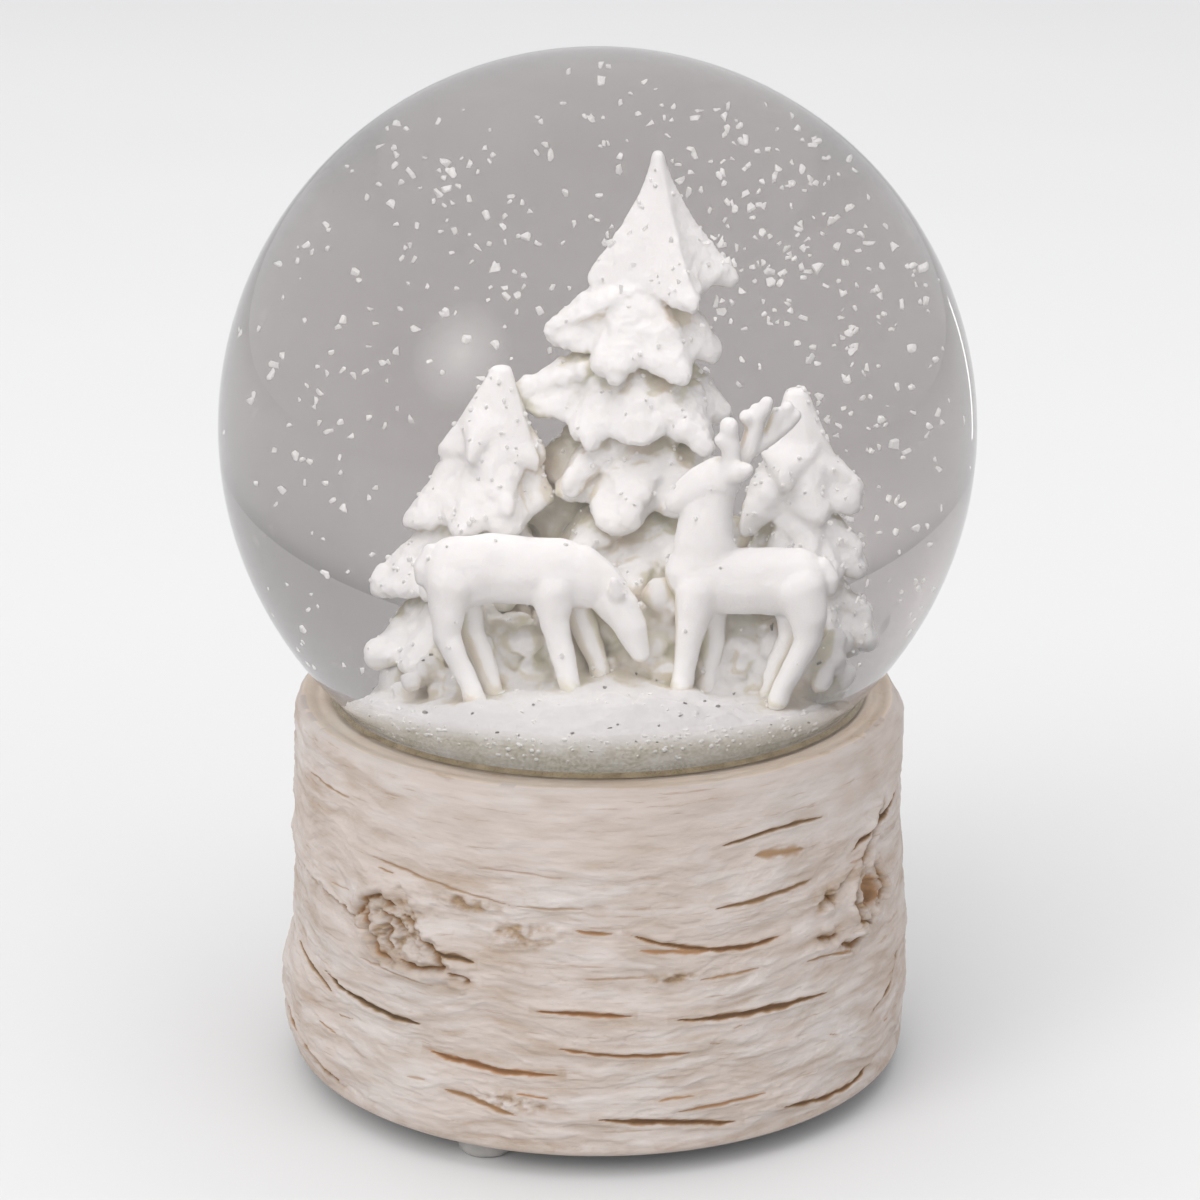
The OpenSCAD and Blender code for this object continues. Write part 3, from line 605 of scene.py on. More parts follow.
def tear_edges(wall):
    """Ragged cuts along the lines in TEARS, each with a raised edge."""
    for a0, z0, line, width in TEARS:
        u = along_wall(wall, a0) + 0.35 * wall.lumps
        far, along = path_distance(u, wall.z - z0 + 0.45 * wall.ragged, line)
        fade = np.clip(np.minimum(along, 1 - along) / 0.12, 0.25, 1)
        q = far / (0.75 * width * fade * (0.8 + 0.6 * wall.ragged).clip(0.35, 1.4))
        cut = np.exp(-(q**2))
        wall.relief += 0.5 * np.exp(-(((far - 1.3) / 0.6) ** 2)) * fade - 0.85 * cut
        wall.groove = np.maximum(wall.groove, np.clip(0.92 * cut - 0.05, 0, 1))
        wall.rust = np.where(cut > 0.25, 0.45, wall.rust)
        stain = (0.42 + 0.3 * wall.chips).clip(0, 1) * np.exp(-((far / (2.2 * width)) ** 2))
        wall.crack = np.maximum(wall.crack, stain)


def chip_patches(wall):
    """Rough brown patches beside the knots."""
    for a0, z0, half, tall in PATCHES:
        patch = np.exp(-((along_wall(wall, a0) / half) ** 2 + ((wall.z - z0) / tall) ** 2))
        wall.relief += 0.55 * patch * wall.chips
        wall.crack = np.maximum(wall.crack, np.clip(patch * (0.62 - 1.3 * wall.chips), 0, 0.85))


def lift_peels(wall):
    """Edges of bark that stand off the layer below, with a brown stain under each and a near-black painted
    shadow line just beneath the edge.
    """
    for line, stands in PEELS:
        a = np.array([p[0] for p in line], float)
        h = np.array([p[1] for p in line], float)
        mid = (a[0] + a[-1]) / 2
        t = mid + turn_apart(wall.angle, mid)
        near = (t > a[0]) & (t < a[-1])
        fade = np.clip(np.minimum(t - a[0], a[-1] - t) / 7, 0, 1)
        above = wall.z + 0.8 * wall.ragged + 0.3 * wall.wander - np.interp(t, a, h)
        flap = np.clip(above / 0.35, 0, 1) * np.exp(-np.clip(above, 0, None) / 6)
        wall.relief += near * fade * stands * flap
        under = np.exp(-(((above + 0.25) / 0.34) ** 2))
        wall.relief -= near * fade * 0.45 * under
        wall.crack = np.maximum(wall.crack, near * fade * 0.95 * under)
        # a near-black painted shadow line right under the lifted edge
        dark = near * fade * 0.75 * np.exp(-(((above + 0.12) / 0.17) ** 2))
        wall.groove = np.maximum(wall.groove, dark)


def swell_wall(wall):
    """The thick plate at the foot of the left side, and slow swellings on the right and behind."""
    angle, z = wall.angle, wall.z
    plate = np.exp(-((turn_apart(angle, -84) / 24) ** 4 + ((z - 11.5) / 7.0) ** 4))
    wall.relief += 1.2 * plate + 0.8 * np.exp(-((turn_apart(angle, 86) / 24) ** 2 + ((z - 22) / 11) ** 2))
    wall.relief += 0.7 * np.exp(-((turn_apart(angle, 172) / 24) ** 2 + ((z - 33) / 8) ** 2))


def seat_height(r):
    """The height of the seat under the globe at a radius."""
    return GLOBE_Z - math.sqrt(SEAT_R**2 - r * r)


def bark_profile():
    """(r, z) from the top of the wall over the rim and down the hollow to the foot."""
    lip = [(40.55, 51.9), (40.35, 52.35), (39.95, 52.62), (39.4, 52.66), (38.8, 52.5), (38.2, 52.36)]
    flat = [(r, 52.34 + 0.05 * math.sin(3.1 * r)) for r in np.arange(37.9, 35.6, -0.3)]
    seat = [(35.3, 52.5)] + [(r, seat_height(r)) for r in (35.0, 34.2, 33.4, 32.7)]
    hollow = [(32.6, 48), (32.6, 38.0), (36.0, 38.0), (36.0, 22.0), (36.0, 6.0), (40.1, 6.0)]
    foot = [(40.1, 3.3), (40.5, 3.1), (41.2, 3.1), (41.8, 3.2), (42.2, 3.5)]
    return lip + flat + seat + hollow + foot


def rim_points(profile):
    """The profile turned all round: radius, angle and height of each point, its stain, and its paleness,
    which is 1.0 for painted light on the rim's top.
    """
    radii, heights = np.array(profile).T
    theta = np.radians(np.linspace(-180, 180, BARK_COLS, endpoint=False))
    rr, tt, zz = np.repeat(radii, BARK_COLS), np.tile(theta, len(profile)), np.repeat(heights, BARK_COLS)
    at = np.stack([rr * np.sin(tt), -rr * np.cos(tt), zz], axis=1)
    rim = (zz > 51.8) & (rr > 35.2)
    rings = 0.07 * fbm(np.stack([at[:, 0] / 14, at[:, 1] / 14, rr / 0.6], axis=1), 3, 23)
    zz = zz + np.where(rim, rings + 0.1 * fbm(at / 5, 3, 29), 0)
    lip = np.exp(-(((rr - 40.2) / 0.5) ** 2)) * (zz > 51.5)
    rr = rr + 0.22 * lip * fbm(at / [4, 4, 4], 3, 37)
    far = np.clip((39.6 - rr) / 1.2, 0, 1) * (zz > 50)
    streaks = 0.15 + 0.7 * fbm(np.stack([at[:, 0] / 11, at[:, 1] / 11, rr / 0.5], axis=1), 3, 41)
    stain = np.clip(np.where(rim, 0.30 * far * streaks, 0.12), 0, 0.9)
    # 1.0 marks the rim's top for painted light; 0.5 is the plain tone
    return rr, tt, zz, stain, np.where(rim & (rr < 40.0), 1.0, 0.5)


def make_bark():
    """The base's skin as one closed shell: wall, rim, seat, hollow and foot."""
    wall = wall_points()
    layer_bark(wall)
    cut_marks(wall)
    open_knots(wall)
    tear_edges(wall)
    open_hole(wall)
    chip_patches(wall)
    lift_peels(wall)
    swell_wall(wall)
    ends = np.clip((wall.z - WALL_LOW) / 1.6, 0, 1) * np.clip((WALL_TOP - wall.z) / 1.5, 0, 1)
    radius = wall_radius(wall.z) + wall.relief.clip(-1.6, 1.9) * (0.3 + 0.7 * ends)
    # a brown band, darker towards the wall's lowest edge
    darker_foot_band = 0.3 * np.exp(-(((wall.z - WALL_LOW) / 1.0) ** 2)) * (0.6 + 0.6 * wall.lumps)
    crack = np.clip(wall.crack + darker_foot_band, 0, 1)

    profile = bark_profile()
    rr, tt, zz, stain, pale = rim_points(profile)
    r_all, t_all = np.concatenate([radius, rr]), np.concatenate([wall.arc, tt])
    verts = np.stack([r_all * np.sin(t_all), -r_all * np.cos(t_all), np.concatenate([wall.z, zz])], axis=1)
    obj = new_mesh("bark_shell", verts, ring_faces(BARK_ROWS + len(profile), BARK_COLS, close_rows=True))
    none = np.zeros_like(stain)
    marks = [np.concatenate(pair) for pair in ((wall.groove, none), (wall.rust, none), (crack, stain))]
    point_data(obj, "bark", np.stack(marks, axis=1))
    # the wall's paleness, then the rim's marks for painted light
    point_data(obj, "ridge", np.concatenate([wall.ridge.clip(0, 0.9), pale]))
    obj.data.materials.append(bark_material())
    return obj


# ------------------------------------------------------------------ glass and liquid


def turned(name, profile, cols):
    """A closed solid turned from a profile that starts and ends on the axis, and how many rings it has."""
    r, z = np.array(profile[1:-1]).T
    t = np.linspace(0, 2 * math.pi, cols, endpoint=False)
    rr, tt, zz = np.repeat(r, cols), np.tile(t, len(r)), np.repeat(z, cols)
    verts = np.stack([rr * np.sin(tt), -rr * np.cos(tt), zz], axis=1)
    verts = np.concatenate([verts, [[0, 0, profile[0][1]], [0, 0, profile[-1][1]]]])
    return new_mesh(name, verts, capped(len(r), cols)), len(r)


def sphere_arc(radius, low, steps):
    """(r, z) from the top of a sphere down to the height where its radius is low."""
    end = math.pi - math.asin(low / radius)
    return [(radius * math.sin(a), GLOBE_Z + radius * math.cos(a)) for a in np.linspace(0, end, steps)]


def make_glass():
    """The globe and its neck. The inside's index is the liquid's against the glass."""
    cols, steps = 256, 110
    outer = sphere_arc(GLASS_OUT, NECK_OUT, steps)
    inner = sphere_arc(GLASS_IN, NECK_IN, steps)
    wall = [(NECK_OUT, 46.0), (NECK_OUT, 42.5), (NECK_OUT - 0.4, NECK_LOW), (NECK_IN + 0.4, NECK_LOW)]
    wall += [(NECK_IN, 42.5), (NECK_IN, 47.0)]
    obj, rings = turned("globe_glass", outer + wall + inner[::-1], cols)
    obj.data.materials.append(glass_material("globe_outside", 1.5, (0.81, 0.80, 0.795)))
    obj.data.materials.append(glass_material("globe_inside", 1.128, (0.81, 0.80, 0.795)))
    change = len(outer) - 1 + len(wall)
    index = [1 if i // cols >= change else 0 for i in range((rings - 1) * cols)]
    index += [0] * cols + [1] * cols
    obj.data.polygons.foreach_set("material_index", index)
    return obj


def make_liquid():
    """The liquid, which reaches a hair into the glass so that no gap shows."""
    arc = sphere_arc(GLASS_IN + 0.05, 30.85, 90)
    floor = [(r, arc[-1][1]) for r in (30.0, 15.0, 0)]
    obj, _ = turned("clear_liquid", arc + floor, 192)
    obj.data.materials.append(liquid_material())
    return obj


# ------------------------------------------------------------------ forest


def dome_z(x, y):
    """The snow's height before its lumps, on the same dome as the CAD ground."""
    return DOME_TOP - DOME_R + np.sqrt(DOME_R**2 - x * x - y * y)


def make_ground():
    """The snowy ground: a lumpy dome with drifts and low bushes banked up between the trees."""
    rows, cols = 70, 200
    rad = np.concatenate([np.linspace(0.4, 26.2, rows), [26.9, 27.4, 27.8, 28.0, 28.1, 28.1, 28.0, 27.4]])
    drop = np.concatenate([np.zeros(rows), [0.3, 0.8, 1.6, 2.6, 3.6, 4.8, 5.8, 6.2]])
    t = np.linspace(0, 2 * math.pi, cols, endpoint=False)
    rr, tt, dd = np.repeat(rad, cols), np.tile(t, len(rad)), np.repeat(drop, cols)
    x, y = rr * np.sin(tt), -rr * np.cos(tt)
    flat = np.stack([x, y, np.zeros_like(x)], axis=1)
    z = dome_z(x, y) - dd
    middle = np.clip((27.5 - rr) / 4, 0, 1)
    z += middle * (0.8 * fbm(flat / 6.0, 3, 7) + 0.35 * fbm(flat / 2.0, 3, 8))
    z += 0.9 * np.exp(-(((rr - 21.5) / 4.5) ** 2)) * np.clip(-y / 18, 0, 1)
    z = np.maximum(z, MOUND_LOW)
    verts = np.concatenate([np.stack([x, y, z], axis=1), [[0, 0, DOME_TOP], [0, 0, MOUND_LOW]]])
    shells = [(verts, capped(len(rad), cols, 1))]
    gen = np.random.default_rng(15)

    def banked(p):
        floor = dome_z(p[0], p[1])
        room = 6.5 if p[1] > -5 else 2.0
        between = abs(p[0] + 1) < 20 and math.hypot(p[0], p[1]) < 21.5
        return between and floor - 1 < p[2] < floor + room * (1 - 0.5 * abs(p[0]) / 24)

    def on_ground(p):
        return math.hypot(p[0], p[1]) < 26

    shells += lumps(120, (-22, -7, 60), (24, 9, 74), (1.0, 2.0), gen, banked)
    shells += lumps(16, (2.2, -7.5, 64), (7.6, -3.5, 73.5), (1.1, 1.8), gen)
    shells += lumps(22, (-7.4, 4.5, 64), (-2.6, 8.5, 82), (1.5, 2.4), gen)
    shells += lumps(14, (10.5, 3.5, 64), (15.5, 7.5, 78), (1.4, 2.2), gen)
    shells += lumps(26, (-24.5, -8.0, 60), (25.5, -2.0, 65.5), (0.8, 1.5), gen, on_ground)
    shells += lumps(95, (-15.0, -6.4, 61), (20.5, -3.0, 71.0), (1.9, 3.0), gen)
    shells += lumps(60, (-14.5, -8.2, 61), (20.0, -6.4, 69.5), (0.8, 1.4), gen)
    shells += lumps(26, (4.6, -8.6, 63), (7.8, -5.5, 73.5), (1.0, 1.8), gen)
    shells += lumps(14, (21.5, -7.5, 62), (25.0, -3.0, 68.0), (1.0, 1.7), gen)
    obj = fuse("snow_mound", shells, 0.3, 3)
    at, normal = points_of(obj)
    up = np.clip((at[:, 2] - 57) / 3, 0, 1)
    out = np.hypot(at[:, 0], at[:, 1])
    behind = np.clip((at[:, 1] + 12) / 5, 0.45, 1) * up * np.clip((27 - out) / 3, 0, 1)
    rough = behind * 0.3 * np.clip(fbm(at / 1.4, 3, 9), -0.3, 1) + up * 0.06 * fbm(at / 0.6, 2, 4)
    move_points(obj, at + normal * rough[:, None])
    at, normal = points_of(obj)
    # how far down the mound each point lies, for a greenish grey painted shade there
    low = np.clip((59.6 - at[:, 2]) / 2.2, 0, 1)
    point_data(obj, "low", (low * (0.85 + 0.3 * fbm(at / 2.5, 3, 12))).clip(0, 1))
    obj.data.materials.append(ground_material())
    return obj


def turned_about(cx, cy, reach, phi, z):
    """A ring of points round (cx, cy): reach and z at each angle in phi."""
    return np.stack([cx + reach * np.cos(np.radians(phi)), cy + reach * np.sin(np.radians(phi)), z], axis=1)


def hem(cx, cy, apex, rings, reach, edge, phi, turns):
    """Closes a skirt: turns are how far in and down each ring of its underside lies."""
    rings = rings + [turned_about(cx, cy, reach * share, phi, edge + fall) for share, fall in turns]
    ends = np.array([[cx, cy, apex], [cx, cy, float(edge.mean()) + 0.8]])
    return np.concatenate(rings + [ends]), capped(len(rings), len(phi))


def skirt(cx, cy, apex, low, corners, power, hollow, tip):
    """A tree's top as a closed many-sided point. Each corner is an angle, a reach and how much it lifts."""
    cols, rows = 120, 26
    phi = np.linspace(0, 360, cols, endpoint=False)
    corners = sorted(corners)
    reach, lift, crest = np.zeros(cols), np.zeros(cols), np.zeros(cols)
    for (a0, r0, l0), (a1, r1, l1) in zip(corners, corners[1:] + [corners[0]]):
        span = (a1 - a0) % 360
        along = (phi - a0) % 360
        here = along <= span
        x, w = np.radians(along[here]), math.radians(span)
        chord = r0 * r1 * math.sin(w) / (r0 * np.sin(x) + r1 * np.sin(w - x))
        s = along[here] / span
        reach[here] = chord * (1 - hollow * np.sin(math.pi * s))
        lift[here] = l0 + (l1 - l0) * s
        crest[here] = np.abs(1 - 2 * s) ** 2
    edge = low + 0.9 * (1 - crest) + lift
    rings = []
    for t in np.linspace(0.03, 1, rows):
        rings.append(turned_about(cx, cy, tip + (reach - tip) * t**power, phi, apex - (apex - edge) * t))
    return hem(cx, cy, apex, rings, reach, edge, phi, ((1.0, -0.7), (0.93, -1.3), (0.7, -1.1), (0.3, 0.6)))


def tier(cx, cy, apex, low, lobes):
    """A skirt of boughs as a closed shell. Each lobe is an angle, a reach and how much it lifts."""
    cols, rows = 96, 20
    width, waist, arch = 25, 0.66, 2.0  # a lobe in degrees, the gaps' share of reach, the hem's rise there
    phi = np.linspace(0, 360, cols, endpoint=False)
    core = waist * np.mean([lobe[1] for lobe in lobes])
    reach, lift, crest = np.full(cols, core), np.zeros(cols), np.zeros(cols)
    for lobe in lobes:
        g = np.exp(-np.abs(turn_apart(phi, lobe[0]) / width) ** 2.4)
        bigger = core + (lobe[1] - core) * g
        lift = np.where(bigger > reach, lobe[2] * g, lift)
        crest = np.maximum(crest, g)
        reach = np.maximum(reach, bigger)
    edge = low + arch * (1 - crest) + lift
    rings = []
    for t in np.linspace(0.04, 1, rows):
        z = apex - (apex - edge) * t + 0.7 * np.sin(math.pi * t) * crest
        rings.append(turned_about(cx, cy, 0.8 + (reach - 0.8) * t, phi, z))
    return hem(cx, cy, apex, rings, reach, edge, phi, ((1.01, -0.9), (0.93, -1.5), (0.66, -0.9), (0.3, 0.6)))


def bough(root, tip, wide, thick):
    """One snow-laden bough from the trunk to its narrower tip, as overlapping flat balls."""
    root, tip = np.array(root, float), np.array(tip, float)
    way = tip - root
    flat = math.hypot(way[0], way[1]) + 1e-6
    out = []
    for t in np.linspace(0.15, 1, 7):
        drop = 0.35 * t + 0.65 * t**1.7
        p = root + way * [t, t, drop]
        slope = math.atan2(way[2] * (0.35 + 1.1 * t**0.7), flat)
        across = wide * (0.62 + 0.5 * math.sin(math.pi * t**0.8)) * (1 - 0.42 * max(0.0, t - 0.6) / 0.4)
        verts, faces = ball((0, 0, 0), (2.1, across, thick * (0.95 - 0.1 * t)), 8, 14)
        c, n = math.cos(slope), math.sin(slope)
        verts = verts @ np.array([[c, 0, n], [0, 1, 0], [-n, 0, c]])
        c, n = way[0] / flat, way[1] / flat
        verts = verts @ np.array([[c, n, 0], [-n, c, 0], [0, 0, 1]])
        out.append((verts + p - way / np.linalg.norm(way) * 0.9, faces))
    return out


def lumps(count, low, high, size, gen, keep=None):
    """Seeded balls in a box, where keep allows them."""
    out = []
    while len(out) < count:
        p = gen.uniform(low, high)
        if keep is None or keep(p):
            r = gen.uniform(*size)
            out.append(ball(p, r * gen.uniform(0.75, 1.25, 3), 7, 10))
    return out


def tree_shells(x, y, base, top, spread_low, spread_top, point, tiers, boughs):
    """A casting of one tree: its pointed top, its core, its skirts and the boughs that hang over them."""
    shells = [skirt(*point)]
    for z in np.arange(base, top, 1.2):
        r = np.interp(z, [base, top], [spread_low, spread_top])
        shells.append(ball((x, y, z), (r, r, 1.6), 8, 16))
    for cx, apex, low, lobes in tiers:
        shells.append(tier(cx, y, apex, low, lobes))
    for tip, wide, thick, rise in boughs:
        shells += bough((x, y, tip[2] + rise), tip, wide, thick)
    return shells


# Each tree: its piece, its CAD node, its noise seed, then what tree_shells takes: place, foot and top of the
# core and its two radii, the pointed top as skirt takes it, the tiers as (centre x, apex, low edge, lobes)
# and the boughs as (tip, width, thickness, rise of the root above the tip)
TREES = [
    ("tree_tall", "tall_tree", 3, (
        4.6, 5.2, 62, 103, 6.2, 2.6,
        (6.1, 5.2, 116.4, 102.2, [(186, 7.4, 1.0), (302, 7.2, -0.6), (8, 7.9, 0.7), (100, 7.0, 0.6)],
         1.5, 0.2, 0.6),
        [
            (4.6, 104.6, 95.0, [(178, 9.6, 2.4), (238, 7.6, 0.6), (300, 7.4, 0), (350, 7.6, 1.0), (55, 8, 0),
                                (118, 8.2, 0.6)]),
            (3.8, 98.4, 88.0, [(181, 11.2, 2.6), (226, 8.4, 0.8), (272, 8.2, 0.8), (322, 9.0, 0.2),
                               (6, 9.0, 1.4), (66, 8.6, 0), (126, 9.2, 0.8)]),
            (3.4, 91.6, 80.6, [(170, 9.4, 3.2), (214, 8.2, 1.8), (260, 9.2, -0.6), (312, 9.0, 0.6),
                               (0, 9.6, 1.6), (60, 9.2, 0), (118, 9.2, 0.4)]),
            (3.4, 84.6, 73.0, [(190, 9.0, 1.0), (236, 9.0, 0.6), (282, 9.2, -0.2), (330, 9.4, 0.8),
                               (20, 9.6, 0), (75, 9.8, 0.6), (135, 9.4, 0)]),
            (3.4, 77.6, 65.6, [(176, 9.4, 0.6), (222, 9.6, 0), (266, 9.6, 0.4), (312, 9.8, 0), (0, 9.8, 0.6),
                               (50, 10, 0), (98, 10, 0.5), (140, 9.6, 0)]),
        ],
        [
            ((-4.4, 4.2, 97.8), 3.0, 1.5, 4.4), ((1.7, -0.8, 94.4), 3.2, 1.5, 6.4),
            ((8.6, -0.6, 94.2), 3.3, 1.5, 6.4),
            ((-7.4, 4.2, 91.2), 3.1, 1.5, 4.4), ((-0.8, -1.4, 87.6), 3.0, 1.5, 6.8),
            ((10.6, -1.6, 87.4), 3.5, 1.6, 6.4),
            ((-2.6, -1.6, 83.2), 2.6, 1.5, 6.2), ((3.1, -3.6, 80.2), 3.9, 1.6, 9.0),
            ((10.2, -2.0, 80.8), 3.0, 1.5, 6.4),
            ((-3.4, -2.2, 74.6), 3.4, 1.6, 7.0), ((3.4, -4.4, 72.6), 3.4, 1.6, 7.5),
            ((9.0, -3.2, 74.0), 3.2, 1.6, 7.0),
        ])),
    ("tree_left", "left_tree", 4, (
        -10.4, 3.2, 62, 84, 5.6, 3.2,
        (-9.5, 3.2, 94.3, 85.4, [(186, 6.4, 0.6), (262, 4.6, -0.2), (322, 4.8, -0.2), (40, 4.8, 0),
                                 (112, 5.0, 0)],
         1.1, 0.03, 0.9),
        [
            (-10.2, 89.5, 78.6, [(186, 8.6, 0.8), (236, 6.6, 0.6), (284, 6.4, 0.6), (345, 6.0, 3.2),
                                 (50, 6.4, 0), (118, 7.2, 0.4)]),
            (-10.8, 83.0, 71.8, [(185, 11.0, 0.8), (232, 8.4, 0.6), (278, 7.6, 0.4), (325, 7.0, 2.0),
                                 (28, 7.2, 0.6), (84, 8, 0), (138, 9.2, 0)]),
            (-11.0, 77.5, 65.2, [(184, 11.2, 0.8), (222, 10.6, 0), (264, 9.2, 0), (310, 8.4, 0.6),
                                 (12, 8, 0), (75, 8.8, 0.6), (132, 10, 0)]),
        ],
        [
            ((-12.4, -0.6, 86.2), 2.3, 1.6, 3.4), ((-9.2, -2.0, 80.6), 2.7, 1.7, 7.4),
            ((-6.0, 2.0, 85.6), 2.4, 1.6, 3.6),
            ((-14.6, 0.2, 80.0), 2.4, 1.5, 5.4), ((-21.0, 2.8, 73.0), 2.8, 1.7, 4.2),
            ((-16.8, -1.4, 72.4), 2.8, 1.6, 5.6),
            ((-21.4, 1.6, 65.6), 3.6, 1.9, 5.4), ((-16.8, -2.4, 65.6), 3.6, 1.8, 6.8),
            ((-11.0, -3.6, 66.6), 3.2, 1.7, 6.2),
        ])),
    ("tree_right", "right_tree", 5, (
        19.2, 3.2, 62, 80, 4.6, 2.8,
        (19.6, 3.2, 92.0, 82.4, [(350, 4.9, 0.3), (296, 4.3, 0), (236, 4.2, -0.2), (176, 4.0, 0),
                                 (115, 4.4, 0), (50, 4.6, 0)],
         1.0, 0.04, 1.0),
        [
            (19.6, 87.5, 79.4, [(352, 6.2, 1.6), (300, 5.2, 1.0), (214, 6.0, 0.4), (130, 5.6, 0),
                                (60, 5.6, 0.4)]),
            (19.6, 83.0, 73.8, [(352, 6.6, 0.9), (305, 6.4, 0.2), (250, 6.2, 0.4), (195, 6.0, 0),
                                (125, 6.2, 0.4), (60, 6.2, 0)]),
            (19.6, 78.0, 66.4, [(350, 7.4, 0.8), (302, 7.0, 0), (252, 6.8, 0.4), (205, 6.4, 0),
                                (130, 6.6, 0.4), (60, 7, 0)]),
        ],
        [
            ((25.0, 2.8, 82.0), 2.5, 1.6, 3.8), ((14.8, -0.8, 78.8), 2.5, 1.8, 5.6),
            ((18.6, -1.0, 83.4), 2.8, 1.5, 3.4),
            ((25.0, 1.8, 75.8), 2.6, 1.6, 4.2), ((21.2, -2.0, 75.6), 2.8, 1.6, 5.4),
            ((25.8, 2.0, 69.0), 2.8, 1.7, 4.4),
            ((22.8, -2.4, 68.2), 2.9, 1.6, 5.8),
        ])),
]


def make_trees(resin):
    """The three trees, each as one casting."""
    out = []
    for name, node, seed, sizes in TREES:
        obj = fuse(name, tree_shells(*sizes), 0.27, 3)
        roughen(obj, seed, 0.27, top=sizes[6][2])
        obj.data.materials.append(resin)
        out.append((obj, node))
    return out


def roughen(obj, seed, size, top):
    """Clotted snow over a casting, calmer towards its point."""
    at, normal = points_of(obj)
    calm = np.clip((top - at[:, 2]) / 14 - 0.15, 0.06, 1)
    clots = np.clip(fbm(at / 1.5, 3, seed + 2) + 0.1, -0.3, 1)
    shape = size * (0.8 * fbm(at / 3.4, 2, seed) + clots) + 0.08 * fbm(at / 0.5, 2, seed + 5)
    move_points(obj, at + normal * (calm * shape)[:, None])


def paint_crevice_shade(pieces):
    """Stores how closed-in each point is, from how much of the casting lies in front of it, for the materials
    to paint shade into the crevices.
    """
    cell = 0.9
    low = np.array([-34.0, -34.0, 46.0])
    grid = np.zeros((76, 76, 84))
    for obj in pieces:
        at, _ = points_of(obj)
        place = ((at - low) / cell).astype(int)
        grid[place[:, 0], place[:, 1], place[:, 2]] = 1.0
    for _ in range(2):
        for axis in range(3):
            grid = (np.roll(grid, 1, axis) + grid + np.roll(grid, -1, axis)) / 3
    for obj in pieces:
        at, normal = points_of(obj)
        near, far = (((at + normal * reach - low) / cell).astype(int) for reach in (2.2, 4.2))
        closed = grid[near[:, 0], near[:, 1], near[:, 2]] + 0.9 * grid[far[:, 0], far[:, 1], far[:, 2]]
        # the more closed-in, the more painted shade
        crevice_shade = np.clip((closed - 0.34) / 0.4, 0, 1) * (0.8 + 0.4 * fbm(at / 2.4, 2, 71))
        point_data(obj, "crevice_shade", crevice_shade.clip(0, 0.9))


# Each deer is limbs: points as (x, y, z, radius), and how wide the limb is across
DOE = [
    ([(-14.6, -10.5, 76.0, 3.7), (-11, -10.5, 76.5, 3.6), (-7.5, -10.5, 76.2, 3.5), (-4, -10.5, 76.0, 3.6),
      (-1.6, -10.5, 75.4, 3.0)], 0.85),
    ([(-2.0, -10.5, 76.2, 2.8), (0.6, -10.6, 74.6, 2.2), (2.4, -10.8, 72.2, 1.9)], 0.82),
    ([(2.4, -10.8, 72.4, 1.9), (3.4, -11, 70.4, 1.6), (4.1, -11, 68.6, 1.15), (4.4, -11, 67.7, 0.95)], 1.0),
]
DOE += [
    ([(2.0, y, 73.2, 0.7), (2.0, y + side * 1.0, 74.6, 0.85), (1.7, y + side * 1.6, 75.7, 0.45)], 0.7)
    for side, y in ((-1, -11.8), (1, -9.8))
]
DOE += [
    ([(-15.2, -11.6, 75.2, 2.6), (-15.6, -12, 72.4, 1.9), (-15.7, -12, 69.8, 1.35), (-14.6, -12, 67, 1.15),
      (-13.2, -12, 64.0, 1.05), (-12.8, -12, 62.4, 1.2)], 1.0),
    ([(-14.0, -9.3, 75, 2.4), (-13.4, -9, 72, 1.7), (-13.0, -9, 69.5, 1.25), (-11.7, -9, 66.8, 1.05),
      (-10.6, -9, 63, 1.0), (-10.4, -9, 62.4, 1.1)], 1.0),
    ([(-4.6, -11.7, 74.6, 2.4), (-4.5, -12, 71.6, 1.55), (-3.9, -12, 68.8, 1.25), (-3.3, -12, 66, 1.1),
      (-2.6, -12, 63.4, 1.0), (-2.2, -12, 62.4, 1.15)], 1.0),
    ([(-3.0, -9.2, 74.6, 2.2), (-1.8, -9, 71.6, 1.4), (-0.9, -9, 69, 1.15), (0.0, -9, 66.5, 1.0),
      (0.6, -9, 63.2, 1.0)], 1.0),
    ([(-17.2, -10.5, 78.0, 1.0), (-18.1, -10.5, 76.6, 0.9), (-18.2, -10.5, 75.2, 0.6)], 1.0),
]
